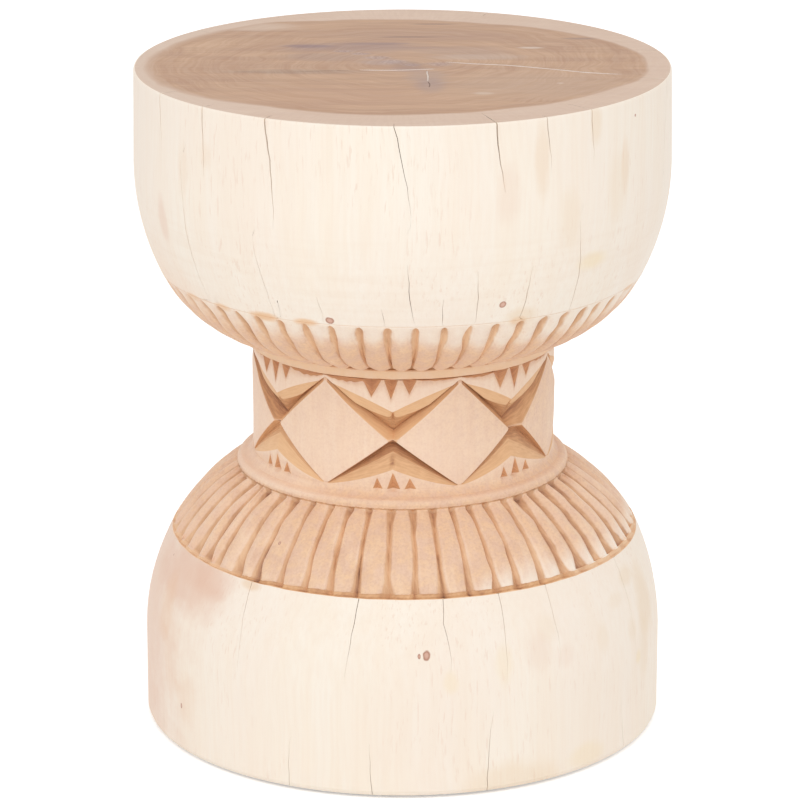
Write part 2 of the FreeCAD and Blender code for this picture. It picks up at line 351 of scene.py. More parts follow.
def make_outline():
    """Every row of the log, from the edge of its underside to the edge of its top."""
    shoulder = (shoulder_radius, foot_top)
    lower_end = (ring_radius, ring_bottom)
    rib_end = (rib_end_radius, bead_top)
    bowl_edge = (bowl_edge_radius, bowl_bottom)
    belly = (belly_radius, belly_height)
    add_zone("underside edge", plain((foot_radius - foot_rounding, foot_bottom),
                                     (foot_radius - 1.2, foot_bottom + 1.2)))
    add_zone("foot", stretch((foot_radius, foot_bottom + foot_rounding),
                             (foot_radius, foot_side_top), 0, even(9, 0, 0.9))
             + stretch((foot_radius, foot_side_top), shoulder, shoulder_bulge,
                       even(10, 0, 0.985)))
    add_zone("stop", stretch(shoulder, lower_end, lower_bulge,
                             [-0.008, 0.006, 0.020, 0.036, 0.046]))
    add_zone("lower band", stretch(shoulder, lower_end, lower_bulge,
                                   [0.052 + 0.938 * share for share in crowded(20)]))
    add_zone("crease", plain((112.6, 177.3), (111.7, 177.9), (112.2, 178.6)))
    add_zone("ring", stretch((112.2, 178.6), (roll_radius, roll_top), ring_bulge, even(5, 0.2, 1.0))
             + stretch((roll_radius, roll_top), (waist_radius, field_bottom), throat_bulge,
                       even(3, 0.25, 0.75)))
    add_zone("waist", plain(*[(waist_radius, height) for height in
                              even(waist_row_count, field_bottom, field_top)]))
    add_zone("bead", plain(
        (undercut_radius, field_top + 0.2), (undercut_radius, bead_bottom - 0.2),
        (bead_radius - 0.5, bead_bottom), (bead_radius, bead_bottom + 0.7),
        (bead_radius + 0.1, (bead_bottom + bead_top) / 2), (bead_radius, bead_top - 0.7),
        (bead_radius - 0.5, bead_top), (bead_radius - 1.4, bead_top + 0.3)))
    add_zone("upper band", stretch(rib_end, bowl_edge, upper_bulge, crowded(25)))
    add_zone("scribe", stretch(bowl_edge, belly, bowl_bulge, [0.004, 0.010, 0.017]))
    add_zone("bowl", stretch(bowl_edge, belly, bowl_bulge, even(12, 0.04, 1.0))
             + stretch(belly, (rim_radius, top_height - rim_rounding), 0, even(10, 0.1, 1.0)))
    add_zone("rim", plain((rim_radius - 0.35, top_height - 0.35),
                          (rim_radius - rim_rounding, top_height)))


make_outline()
radius, height, out_r, out_z = (np.array(values)[:, None] * np.ones(COLUMNS)
                                for values in zip(*outline_rows))
# Fields over the rows and columns: turn of the column, depth below the outline, pull towards the
# middle, lift, and for the finish how much is cut, how brown it is (cut wood's colour together with
# painted shade in hollows and on shaded walls), how far a check is open, which sets how dark its
# painted shade is, and which stroke of the gouge a place lies in
shift, inset, pull, lift, cut, stain, check, stroke = (np.zeros_like(radius) for _ in range(8))


def nearest_column(angle):
    return round((angle + 180) / column_spacing) % COLUMNS


def pinned(pins):
    """How far each column is turned when some columns are pinned to angles of their own."""
    columns = sorted(pins)
    turns = [(pins[column] - even_angles[column] + 180) % 360 - 180 for column in columns]
    return np.interp(column_numbers, columns, turns, period=COLUMNS)


# Fluted bands

# How many strokes of the gouge neighbouring columns and neighbouring grooves lie apart
stroke_width = 1.0
stroke_step = 37.0
# How much of a groove is cut wood for the finish, and the value that makes cut wood rosy
band_cut = 0.6
rosy_cut = 1.2
# How far the grooves of the sides lean, and the sine of the angle where they lean fully
steep_lean = 0.35
sine_of_full_lean = 0.45


def along(table, share):
    """The values of a table's rows at a share of their length."""
    position = share * (table.shape[1] - 1)
    number = min(int(position), table.shape[1] - 2)
    part = smooth(position - number)
    return table[:, number] * (1 - part) + table[:, number + 1] * part


def aside_from(start, reach):
    """How far round the log each column is, from 0 up to an angle to 1 a reach further on."""
    return smooth((np.abs(even_angles) - start) / reach)


def left_from(start, reach):
    """The same towards the left alone, by the sine of the angle."""
    return smooth((-even_sines - start) / reach)


def set_rows(name, table, turns):
    """Gives the rows of a moulding what its table says, and turns their columns."""
    for row, (inward, brown, whole) in zip(rows_of(name), table):
        shift[row], inset[row], stain[row], cut[row] = turns, inward, brown, whole


class Flutes:
    """The grooves of one band: which columns they hold, where each runs and how they vary."""

    def __init__(self, count, first_angle, drift, lean, seed):
        draw = np.random.default_rng(seed)
        angle = np.sort((first_angle + 360 / count * np.arange(count) + 180) % 360 - 180)
        drifted = angle + np.interp(angle, *zip(*drift))
        self.pitch = 360 / count
        self.low = drifted + draw.uniform(-groove_jitter, groove_jitter, count)
        self.high = drifted + draw.uniform(-groove_jitter, groove_jitter, count)
        before, after = np.roll(drifted, 1), np.roll(drifted, -1)
        room = np.minimum(np.abs(drifted - before), np.abs(after - drifted))
        self.width = draw.uniform(0.7, 1.3, (2, count, 7))
        self.width *= np.clip(room / self.pitch, 0.5, 1)[:, None]
        aside = np.clip(np.sin(np.radians(drifted)) / sine_of_full_lean, -1, 1)
        self.lean = draw.uniform(-lean, lean, (count, 3)) - steep_lean * aside[:, None]
        self.tones = draw.uniform(0.5, 1.5, (count, 6))
        self.angle = angle
        self.centres = [nearest_column(value) for value in angle]
        away = (column_numbers[:, None] - self.centres + COLUMNS / 2) % COLUMNS - COLUMNS / 2
        self.nearest = np.argmin(np.abs(away), axis=1)
        away = away[column_numbers, self.nearest]
        self.step = np.abs(away)
        # Which wall of each groove is painted in shade (the one facing the middle) and which is
        # painted lighter
        self.shade_side = np.clip(-away * aside[self.nearest], -1, 1)
        self.stroke = stroke_width * away + stroke_step * self.nearest
        self.valley = np.interp(self.step, (0, 1, 2), (1, 0.62, 0))
        self.crest = np.clip((self.step - 2) / (COLUMNS / count / 2 - 2), 0, 1)
        self.depth = draw.uniform(0.85, 1.15, count)[self.nearest]
        self.end = draw.uniform(-1, 1, count)[self.nearest]

    def turned(self, share, half_width_share):
        """The columns' turns at a share of the band's height."""
        pins = {}
        left, right = along(self.width[0], share), along(self.width[1], share)
        lean = along(self.lean, share)
        for number, centre in enumerate(self.centres):
            middle = self.low[number] + (self.high[number] - self.low[number]) * share
            for step in range(-2, 3):
                half = half_width_share * self.pitch * (left if step < 0 else right)[number]
                across = step / 2 + lean[number] * (1 - abs(step) / 2)
                pins[(centre + step) % COLUMNS] = middle + half * across
        return pinned(pins)

    def tone(self, share):
        """Each groove's own tone at a share of the band's height."""
        return along(self.tones, share)[self.nearest]

    def browned(self, share, browns):
        """How brown the columns are, from browns by their steps from a groove and its own tone."""
        return np.interp(self.step, (0, 1, 2, 3, 5), browns) * (0.3 + 0.7 * self.tone(share))


def cut_lower_band():
    """Grooves that flare at both ends, flat ribs, and the cut that stops them above the foot."""
    flutes = Flutes(lower_grooves, lower_first_angle, lower_drift, lower_lean, seeds["lower band"])
    aside = aside_from(25, 35)
    deep = lower_groove_depth * flutes.depth * flutes.valley * (1 + 0.3 * aside)
    flutes.width *= 1 + 0.7 * aside[flutes.centres][:, None]
    rows = rows_of("lower band")
    for row, share in zip(rows, crowded(len(rows))):
        low_flare = max(1 - share / 0.2, 0) ** 1.4
        high_flare = max((share - 0.76) / 0.24, 0) ** 1.2
        shift[row] = flutes.turned(
            share, lower_half_width + flare_width * low_flare + flare_width * high_flare)
        inset[row] = ((0.5 + aside) * (1 - flutes.crest) ** 2
                      + deep * (1 + 0.3 * low_flare * (1 - 2 * aside)))
        cut[row] = band_cut * flutes.valley
        stroke[row] = flutes.stroke
        stain[row] = flutes.browned(share, (
            0.38 + 0.04 * low_flare + 0.2 * high_flare, 0.24 + 0.12 * low_flare + 0.28 * high_flare,
            0.42, 0.34 - 0.06 * low_flare, 0.28 - 0.06 * low_flare))
        # Painted shade on the groove wall that faces the middle, painted light on the other
        stain[row] *= 1 + 0.25 * flutes.shade_side * (flutes.step < 3)
        # Grooves towards the sides are painted browner, as painted shade
        stain[row] += flutes.valley * aside * (0.28 + 0.07 * even_sines) * (1 - 0.6 * low_flare)
        stain[row] += (0.16 - 0.05 * high_flare) * (flutes.step > 2) * (1 - aside)
    # The strip that stops the grooves grows faint to both sides and narrow to the left
    torn = np.random.default_rng(seeds["torn edges"])
    narrow = 0.55 * left_from(0.4, 0.33)
    faint = 1 - 0.6 * aside_from(35, 20)
    for row, (inward, brown, whole) in zip(rows_of("stop"), stop_rows):
        below = inward > 0
        shift[row] = shift[rows.start]
        inset[row] = np.maximum(inward * faint, (0.3 + faint) * deep * below)
        cut[row] = np.maximum(whole * faint, flutes.valley * below * (0.3 + 0.7 * faint))
        stain[row] = (np.maximum(brown * faint, 0.5 * faint * flutes.valley * flutes.tone(0.0))
                      * torn.uniform(0.8, 1.2, COLUMNS))
        lift[row] = (0.3 * ripple(even_angles, 0, 60, 1e6, seeds["stop"])
                     - narrow * (height[row] - height[zones["stop"].start])
                     + torn.uniform(-0.18, 0.18, COLUMNS) * faint * below)
    set_rows("crease", crease_rows, shift[rows.stop - 1])
    crease = zones["crease"]
    inset[crease.start] += deep
    cut[crease.start] = flutes.valley
    inset[crease.stop - 1] += torn.uniform(0, 0.5, COLUMNS)
    lift[crease.stop - 1] += torn.uniform(-0.4, 0.5, COLUMNS)
    # Cracks down some grooves, painted dark and browner as the shade in the slit
    for angle in cracked_groove_angles:
        centre = flutes.centres[np.argmin(np.abs(flutes.angle - angle))]
        crack = slice(zones["stop"].start + 1, rows.start + 9)
        check[crack, centre] = 0.24
        stain[crack, centre] += 0.3
        pull[crack, centre] = 0.6


def cut_upper_band():
    """Grooves that start in a round scoop and narrow downwards, and ribs that end in tongues."""
    flutes = Flutes(upper_grooves, upper_first_angle, upper_drift, upper_lean, seeds["upper band"])
    aside = aside_from(20, 30)
    flutes.width *= 1 + 0.6 * aside[flutes.centres][:, None]
    # Grooves towards the sides are painted browner, as painted shade
    side_shade = aside * (0.38 - 0.03 * even_sines)
    rib_shares = (0, 0.3, 0.6, 0.85, 1)
    rows = rows_of("upper band")
    for row, share in zip(rows, crowded(len(rows))):
        scoop = smooth((share - 0.35) / 0.5)
        closing = np.clip(round_end((share - 0.925) / 0.078), 0.3, 1)
        shift[row] = flutes.turned(share, (upper_half_width + scoop_width * scoop) * closing)
        floor = round_end((share - 0.95 - 0.008 * flutes.end) / 0.045)
        tip = max(1 - share / 0.05, 0) ** 2
        crown = 1.9 - 1.5 * share
        inset[row] = (crown * (1 - flutes.crest) ** 2 * (1 - smooth((share - 0.9) / 0.1))
                      + upper_groove_depth * flutes.depth * flutes.valley * floor + 0.9 * tip)
        cut[row] = band_cut * flutes.valley * floor * (1 - 0.2 * scoop)
        stroke[row] = flutes.stroke
        edge = smooth((share - 0.86) / 0.07)
        ribs = np.interp(share, rib_shares, (0.3, 0.38, 0.46, 0.44, 0.36))
        ribs = ribs + (np.interp(share, rib_shares, (0.32, 0.42, 0.46, 0.28, 0.16)) - ribs) * aside
        stain[row] = flutes.browned(share, (
            0.3 - 0.06 * scoop + 0.1 * edge, 0.16 + 0.04 * scoop + 0.1 * edge, 0.14, 0.08, 0.0))
        stain[row] += side_shade * flutes.valley
        # Painted shade on the groove wall that faces the middle, painted light on the other
        stain[row] *= 1 + 0.4 * flutes.shade_side * (flutes.step < 3)
        stain[row] += ribs * (flutes.step > 1)
        lift[row] = 2.4 * (1 - flutes.crest) ** 2.5 * max(1 - share / 0.14, 0) ** 1.5
    set_rows("scribe", scribe_rows, shift[rows.stop - 1])


# Carved waist

def gap_position(angle):
    """Which gap an angle lies in, its share of the way from the gap's middle to the diamond's, its
    offset from the gap's middle, and the share at which the diamond's corner lies."""
    turned = np.where(angle > diamond_angles[-1], angle - 360, angle)
    ends = np.array([diamond_angles[-1] - 360] + diamond_angles)
    gap = np.clip(np.searchsorted(ends, turned) - 1, 0, len(gap_angles) - 1)
    middle = np.array(gap_angles)[gap]
    half = np.where(turned > middle, ends[gap + 1] - middle, middle - ends[gap])
    corners = np.array(gap_corners)[gap, (turned > middle).astype(int)]
    return gap, np.abs(turned - middle) / half, turned - middle, corners / half


def uneven_notches(notches, seed):
    """The notches of every gap, each a little off its place and size."""
    uneven = []
    for number in range(len(gap_angles)):
        draw = random.Random(seed + number)
        row = []
        for left, point, right, tall in notches:
            push = gap_notch_shifts[number] + draw.uniform(-0.3, 0.3)
            row.append((left + push, point + push, right + push, tall * draw.uniform(0.92, 1.06)))
        uneven.append(row)
    return uneven


lower_chips = uneven_notches(lower_notches, seeds["lower notches"])
upper_chips = uneven_notches(upper_notches, seeds["upper notches"])


def notch_outline(gap, offset, rows):
    """Height of the chip notches at an offset from the gap's middle."""
    outline = np.zeros_like(offset)
    for number, row in enumerate(rows):
        for left, point, right, tall in row:
            chip = np.interp(offset, [left, point, right], [0, tall, 0])
            outline = np.where(gap == number, np.maximum(outline, chip), outline)
    return outline


def strip_under_bead(gap, share, offset):
    """Height of the thin strip cut away under the bead, between the notches and a diamond."""
    side = np.array(gap_strips)[gap, (offset > 0).astype(int)]
    bulge = np.sin(math.pi * np.clip((share - 0.36) / 0.61, 0, 1)) ** 0.6
    return strip_height * side * bulge * (1 + 0.18 * ripple(offset, 0, 160, 1e6, seeds["strips"]))


def guide_lines(angle):
    """Heights of the carving's guide lines at each angle, lowest first, and the depth at each."""
    gap, share, offset, corner = gap_position(angle)
    low = notch_outline(gap, offset, lower_chips)
    high = notch_outline(gap, offset, upper_chips)
    high = np.maximum(high, strip_under_bead(gap, share, offset))
    reach = np.clip((share - corner) / (1 - corner), 0, 1)
    tip = 1 - round_end(1 - share / 0.09)
    low_edge = corner_height - corner_half - (diamond_fall - corner_half) * reach
    high_edge = (corner_height + corner_half + (diamond_rise - corner_half) * reach
                 - 1.6 * reach * (1 - reach))
    lines = [
        np.full_like(angle, field_bottom),
        field_bottom + low,
        corner_height - 19.4 - 18.5 * share + 5.0 * share ** 2,
        corner_height - 7.9 - 25.0 * share,
        low_edge - 3.0 * (1 - share),
        low_edge,
        high_edge,
        corner_height + 5.4 + 34.7 * share - 1.5 * (corner - 0.1),
        corner_height + 15.4 + 10.0 * share + 12.7 * share ** 2
        + (1.2 + 3.2 * gap_browns[gap]) * tip,
        corner_height + 20.1 + 25.0 * share - 7.0 * share ** 2,
        field_top - high,
        np.full_like(angle, field_top)]
    rooms = [len(shares) * least_step for _, shares, _, _ in waist_bands]
    for number, room in enumerate(rooms[:-1]):
        lines[number + 1] = np.maximum(lines[number + 1], lines[number] + room)
    for number in reversed(range(1, len(rooms))):
        lines[number] = np.minimum(lines[number], lines[number + 1] - rooms[number])
    rest = np.clip(1 - share, 0, 1)
    neck = neck_depth * np.clip(1 - share / corner, 0, 1)
    face = 0 * share
    lower = 0.45 + 0.55 * gap_browns[gap]
    depths = [face, face, face, lower * lower_leaf_depth * rest ** 0.5,
              lower * lower_pit_depth * rest ** 0.8,
              neck, neck, pit_depth * rest ** 0.8, leaf_depth * rest ** 0.5, face, face, face]
    return lines, depths, low, high


def chip_leaf(row, angle):
    """Small chips out of the leaves where two of them meet below the diamonds."""
    for place, up in chip_places:
        near = (np.clip(1.2 - np.abs(angle - place) / chip_half_angle, 0, 1)
                * np.clip(1.2 - np.abs(height[row] - up) / chip_half_height, 0, 1))
        stain[row] += 0.45 * near
        inset[row] += chip_depth * near


def notch_pins(notches):
    """Pins the columns on the diamonds, the gaps and the ends and points of the notches."""
    pins = {nearest_column(angle): angle for angle in gap_angles + diamond_angles}
    for middle, row in zip(gap_angles, notches):
        for left, point, right, _ in row:
            for offset in (point, left, right):
                pins.setdefault(nearest_column(middle + offset), middle + offset)
    return pinned(pins)


def carve_waist():
    """Rows that follow the guide lines of the diamonds, the pits and the notches."""
    low_turn, middle_turn, high_turn = (
        notch_pins(notches) for notches in (lower_chips, [], upper_chips))
    tallest = max(notch[-1] for notch in upper_notches)
    to_right = smooth((even_sines - 0.09) / 0.73)
    rows = iter(rows_of("waist"))
    for number, (kind, shares, cuts, browns) in enumerate(waist_bands):
        for place, (share, cut_here, brown) in enumerate(zip(shares, cuts, browns)):
            row = next(rows)
            station = number + share
            to_middle, to_high = smooth((station - 1) / 3), smooth((station - 7) / 3)
            shift[row] = (low_turn + (middle_turn - low_turn) * to_middle
                          + (high_turn - middle_turn) * to_high)
            angle = even_angles + shift[row]
            lines, depths, low, high = guide_lines(angle)
            gap, to_diamond, offset, corner = gap_position(angle)
            room = lines[number + 1] - lines[number]
            even_share = place / len(shares)
            part = even_share + (share - even_share) * smooth(room / 2)
            height[row] = lines[number] + room * part
            inset[row] = depths[number] + (depths[number + 1] - depths[number]) * part
            stain[row] = brown
            cut[row] = cut_here
            stroke[row] = band_strokes * station
            if kind == "notch":
                tall, away = (low, height[row] - field_bottom) if number == 0 else (
                    high, field_top - height[row])
                inset[row] += notch_depth * np.clip(tall - away, 0, None) / tallest
                cut[row] = rosy_cut * cut_here * (tall > 0.05)
            elif number == diamond_band:
                neck = np.clip(1 - to_diamond / corner, 0, 1)
                cut[row] = neck > 0.02
                # The neck between the corners is painted browner the deeper it lies, as painted
                # shade
                stain[row] = np.where(neck > 0, 0.15 + 0.7 * neck, brown * (1 + 0.7 * to_right))
            elif kind != "face":
                cut[row] *= to_diamond < 0.97
                # Lower pits and leaves take each gap's own amount of painted shade
                if number < diamond_band:
                    stain[row] *= 0.35 + 0.65 * gap_browns[gap]
                    chip_leaf(row, angle)
                elif kind == "bevel":
                    stain[row] += 0.26 * to_diamond ** 2 * cut_here
                    stain[row] += 0.34 * ((gap == left_brown_gap) & (offset < 0))
                    stain[row] += 0.2 * (gap == brown_gap)


def colour_mouldings():
    """The ring, the bead and the undercut: tan in the hollows, brown where they are cut in, partly
    cut wood's colour and partly painted shade.
    """
    for row, brown in zip(rows_of("ring"), ring_browns):
        stain[row] = brown * (1 - 0.5 * left_from(0.3, 0.4))
    # The field's lowest row, in the cove above the ring, takes painted shade
    stain[zones["waist"].start] = 0.3
    nicks = np.random.default_rng(seeds["nicks"])
    for row, (brown, whole) in zip(rows_of("bead"), bead_rows):
        stain[row] = brown
        cut[row] = whole
        if whole < 1:
            inset[row] += nick_depth * np.clip(nicks.normal(0, 1, COLUMNS) - nick_rarity, 0, 1)
            lift[row] += 0.12 * ripple(even_angles, row, 50, 8, seeds["bead"])


def ease_rows(first, last):
    """Turns the columns of the rows between two rows evenly from the one to the other."""
    for row in range(first + 1, last):
        share = (row - first) / (last - first)
        shift[row] = shift[first] + (shift[last] - shift[first]) * share


# Drying checks

# The share of a check's length over which it closes, how far past its ends its columns still bend,
# how many columns bend with it on each side, and over how many rows the grooves' lean runs out
check_taper_share = 0.8
check_relief = 18.0
bent_columns = 9
lean_rows = 7
# Heights at which a check that ends there stays open
open_heights = (top_height, foot_top, foot_bottom)
# How far the rows of the rim go in with a check that runs over the top, from the last row down
rim_shares = (1.0, 0.96, 0.9, 0.55)


def open_checks(checks, first, last, seed):
    """Bends columns along each drying check, and pulls the middle one in."""
    draw = random.Random(seed)
    for places, width, depth, *over_top in checks:
        angles, heights = zip(*sorted(places, key=lambda place: place[1]))
        column = nearest_column(sum(angles) / len(angles))
        phase = draw.uniform(0, 6.28)
        closed = [end for end in (heights[0], heights[-1])
                  if all(abs(end - level) > 1 for level in open_heights)]
        taper = check_taper_share * (heights[-1] - heights[0]) / max(len(closed), 1)
        lasting = min(width / 0.5, 1)
        for row in range(first, last):
            here = height[row, 0]
            gone = max(heights[0] - here, here - heights[-1], 0)
            bent = smooth(1 - gone / check_relief)
            wander = 0.10 * math.sin(here / 5.5 + phase) + 0.07 * math.sin(here / 2.3 + 2 * phase)
            place = np.interp(here, heights, angles) + wander
            turn = (place - even_angles[column] - shift[row, column]) * bent
            strength = 0.0 if gone else min([1.0] + [abs(here - end) / taper for end in closed])
            for step in range(-bent_columns, bent_columns + 1):
                shift[row, (column + step) % COLUMNS] += (
                    turn * smooth(1 - abs(step) / bent_columns))
            half = math.degrees(width / 2 / radius[row, 0]) * (0.25 + 0.75 * strength)
            for side in (-1, 1):
                beside = (column + side) % COLUMNS
                wanted = place + side * half - even_angles[column] - side * column_spacing
                shift[row, beside] += (wanted - shift[row, beside]) * bent
            pull[row, column] = max(pull[row, column], depth * strength * lasting)
            # How dark the check's painted shade is along its middle
            check[row, column] = max(check[row, column], strength ** 0.5 * lasting)
        for reach in over_top:
            for row, share in zip(reversed(range(last)), rim_shares):
                pull[row, column] = max(pull[row, column], reach * share)


def shape_log():
    """All the carving, in the order in which the bands need each other's columns."""
    cut_lower_band()
    cut_upper_band()
    carve_waist()
    colour_mouldings()
    ease_rows(zones["crease"].stop - 1, zones["waist"].start)
    ease_rows(zones["waist"].stop - 1, zones["upper band"].start)
    foot, waist, bowl, rim = (zones[name] for name in ("foot", "waist", "bowl", "rim"))
    for step in range(lean_rows):
        weight = smooth(1 - (step + 1) / lean_rows)
        shift[foot.stop - 1 - step] = shift[zones["stop"].start] * weight
        shift[bowl.start + step] = shift[zones["scribe"].stop - 1] * weight
    open_checks(foot_checks, 0, foot.stop, seeds["foot checks"])
    open_checks(bowl_checks, bowl.start, rim.stop, seeds["bowl checks"])
    angle = even_angles + shift
    # The lower band stands out more to the right, and the whole log is slightly uneven
    start, end = lopsided_heights
    bow = smooth((height - start) / 60) * smooth((end - height) / 30)
    radius[:] += lopsided * np.sin(np.radians(angle)) * bow
    rough = 0.5 + 0.5 * np.clip(ripple(angle, height, 9, 160, seeds["whole log"], 14), -1, 1)
    inset[:] += log_unevenness * rough * (out_r > 0.2)
    radius[waist] -= flat_left * left_from(0.6, 0.4)
    inset[waist] += waist_unevenness * ripple(
        angle[waist], height[waist], 34, 24, seeds["waist"], 16)
    inset[rim.stop - 1] = 0
    inset[0] = 0
    return angle


# Mesh work

# Edges over this angle are sharp, and vertices within this reach of each other are one
sharp_angle = math.radians(18)
seam_reach = 0.002
row_name = "row"


def spun_log():
    """The outline spun round, with each vertex moved to its place in the carving."""
    angle = shape_log()
    bm = bmesh.new()
    row_layer = bm.verts.layers.int.new(row_name)
    profile = [bm.verts.new((0.0, out, up)) for out, up, _, _ in outline_rows]
    for number, vert in enumerate(profile):
        vert[row_layer] = number
    edges = [bm.edges.new(pair) for pair in zip(profile, profile[1:])]
    sector = 2 * math.pi / SECTORS
    around = {"cent": (0, 0, 0), "axis": (0, 0, 1)}
    bmesh.ops.spin(bm, geom=profile + edges, angle=sector, steps=COLUMNS // SECTORS, **around)
    bmesh.ops.spin(bm, geom=bm.verts[:] + bm.edges[:] + bm.faces[:], angle=2 * math.pi - sector,
                   steps=SECTORS - 1, use_duplicate=True, **around)
    bmesh.ops.remove_doubles(bm, verts=bm.verts, dist=seam_reach)
    fields = [(bm.verts.layers.float.new(name), field)
              for name, field in (("cut", cut), ("stain", stain), ("check", check),
                                  ("stroke", stroke))]
    out = radius - inset * out_r - pull
    up = height - inset * out_z + lift
    turn = np.radians(angle)
    x, y = out * np.sin(turn), -out * np.cos(turn)
    for vert in bm.verts:
        row = vert[row_layer]
        column = nearest_column(math.degrees(math.atan2(vert.co.x, -vert.co.y)))
        vert.co = (x[row, column], y[row, column], up[row, column])
        for layer, field in fields:
            vert[layer] = field[row, column]
    return bm


def border(bm, row):
    """The edges of the spun shell's open border in one row."""
    layer = bm.verts.layers.int[row_name]
    return [edge for edge in bm.edges
            if edge.is_boundary and all(vert[layer] == row for vert in edge.verts)]


def closed_line(bm, points):
    """The edges of a closed line through some points."""
    verts = [bm.verts.new(point) for point in points]
    return [bm.edges.new(pair) for pair in zip(verts, verts[1:] + verts[:1])]


def circle_points(centre, size, count, up):
    return [(centre[0] + size * math.cos(2 * math.pi * step / count),
             centre[1] + size * math.sin(2 * math.pi * step / count), up) for step in range(count)]


def flat_faces(made, material):
    """Gives the faces of some new geometry a material and flat shading."""
    for item in made:
        if isinstance(item, bmesh.types.BMFace):
            item.material_index = material
            item.smooth = False


def filled(bm, edges, normal, material):
    """Fills a flat outline and its holes with faces of one material."""
    made = bmesh.ops.triangle_fill(bm, use_beauty=True, edges=edges, normal=normal)
    flat_faces(made["geom"], material)


def sunk(bm, edges, move, material):
    """Walls from an outline to a copy of it that is moved, and the copy's edges."""
    made = bmesh.ops.extrude_edge_only(bm, edges=edges)["geom"]
    verts = [item for item in made if isinstance(item, bmesh.types.BMVert)]
    flat_faces(made, material)
    bmesh.ops.translate(bm, verts=verts, vec=move)
    moved = set(verts)
    return [item for item in made
            if isinstance(item, bmesh.types.BMEdge) and all(vert in moved for vert in item.verts)]


def soft_line(places, count):
    """Points along a smooth line through some places, and their shares of the way."""
    shares = np.linspace(0, 1, count)
    line = []
    for share in shares:
        position = share * (len(places) - 1)
        number = min(int(position), len(places) - 2)
        part = position - number
        before = places[max(number - 1, 0)]
        start, end = places[number], places[number + 1]
        after = places[min(number + 2, len(places) - 1)]
        line.append([0.5 * (2 * b + (c - a) * part + (2 * a - 5 * b + 4 * c - d) * part ** 2
                            + (3 * b - a - 3 * c + d) * part ** 3)
                     for a, b, c, d in zip(before, start, end, after)])
    return np.array(line), shares


def strip_outline(places, width, slack, seed, up):
    """The outline of a thin strip along some places, pointed at both ends and a little uneven."""
    line, shares = soft_line(places, 6 * len(places))
    draw = random.Random(seed)
    along = np.gradient(line, axis=0)
    along /= np.hypot(along[:, 0], along[:, 1])[:, None]
    across = np.stack([-along[:, 1], along[:, 0]], axis=1)
    full = np.clip(np.minimum(shares, 1 - shares) / 0.12, 0, 1) ** 0.6
    halves = []
    for _ in range(2):
        wobble = np.array([draw.uniform(0.72, 1.0) for _ in shares])
        halves.append(width / 2 * full * wobble + slack)
    left = line + across * halves[0][:, None]
    right = line - across * halves[1][:, None]
    left[0], left[-1] = line[0] - along[0] * slack, line[-1] + along[-1] * slack
    points = list(left) + list(right[1:-1][::-1])
    return [(x, y, up) for x, y in points]


# The log's materials by their slots, and the sides of the circles under it
SIDE, END, WALL, UNDER = range(4)
SEAT_SIDES, PILOT_SIDES, FELT_SIDES = 48, 12, 56

fillers = {
    "long_check_filler": (long_filler_places, filler_width, seeds["long filler"]),
    "short_check_filler": (short_filler_places, filler_width, seeds["short filler"]),
    "branch_check_filler": (branch_filler_places, branch_filler_width, seeds["branch filler"])}


def glide_places():
    return [(glide_ring_radius * math.sin(math.radians(angle)),
             -glide_ring_radius * math.cos(math.radians(angle))) for angle in glide_angles]


def close_top(bm):
    """The top face, with the slots of the filled checks and two open hairlines."""
    strips = [(places, width, slot_slack, seed, filler_depth)
              for places, width, seed in fillers.values()]
    strips += [(places, width, 0.0, seeds["hairlines"] + number, hairline_depth)
               for number, (places, width) in enumerate(hairlines)]
    outlines = [(closed_line(bm, strip_outline(places, width, slack, seed, top_height)), depth)
                for places, width, slack, seed, depth in strips]
    edges = border(bm, len(outline_rows) - 1)
    for outline, _ in outlines:
        edges += outline
    filled(bm, edges, (0, 0, 1), END)
    for outline, depth in outlines:
        floor = sunk(bm, outline, (0, 0, -depth), WALL)
        filled(bm, floor, (0, 0, 1), WALL)


def close_underside(bm):
    """The underside, with the seats and the pilot holes of the glides."""
    seats = [closed_line(bm, circle_points(place, seat_radius, SEAT_SIDES, foot_bottom))
             for place in glide_places()]
    edges = border(bm, 0)
    for seat in seats:
        edges += seat
    filled(bm, edges, (0, 0, -1), UNDER)
    for seat, place in zip(seats, glide_places()):
        roof = sunk(bm, seat, (0, 0, seat_depth), UNDER)
        hole = closed_line(bm, circle_points(place, pilot_radius, PILOT_SIDES,
                                             foot_bottom + seat_depth))
        filled(bm, roof + hole, (0, 0, -1), UNDER)
        end = sunk(bm, hole, (0, 0, pilot_depth), UNDER)
        filled(bm, end, (0, 0, -1), UNDER)


def smooth_faces(bm):
    """Shades every face of a mesh smoothly."""
    for face in bm.faces:
        face.smooth = True


def finished(bm, name, materials, node):
    """Turns a mesh in millimetres into a piece that stands for its node."""
    bmesh.ops.recalc_face_normals(bm, faces=bm.faces)
    bmesh.ops.scale(bm, vec=(MM, MM, MM), verts=bm.verts)
    mesh = bpy.data.meshes.new(name)
    bm.to_mesh(mesh)
    bm.free()
    mesh.set_sharp_from_angle(angle=sharp_angle)
    for material in materials:
        mesh.materials.append(material)
    piece = bpy.data.objects.new(name, mesh)
    bpy.context.scene.collection.objects.link(piece)
    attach(piece, "root")
    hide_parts(node)


def make_log(materials):
    bm = spun_log()
    smooth_faces(bm)
    close_top(bm)
    close_underside(bm)
    finished(bm, "log", materials, "carved_log")


def make_fillers(material):
    """The strips of filler, level with the top."""
    for node, (places, width, seed) in fillers.items():
        bm = bmesh.new()
        outline = closed_line(bm, strip_outline(places, width, 0.0, seed, top_height))
        floor = sunk(bm, outline, (0, 0, filler_slack - filler_depth), 0)
        filled(bm, outline, (0, 0, 1), 0)
        filled(bm, floor, (0, 0, -1), 0)
        name = node.replace("_check_filler", "_filler_strip")
        finished(bm, name, [material], node)


# Felt discs: how much smaller and thinner than their nodes they are, which share of their thickness
# rounds their edge, how far in the rings of their faces lie, and how far their edge is worn
felt_room = 0.1
felt_air = 0.01
felt_rounding = 0.3
felt_rings = (0.25, 0.5, 0.6)
felt_wear = 0.012


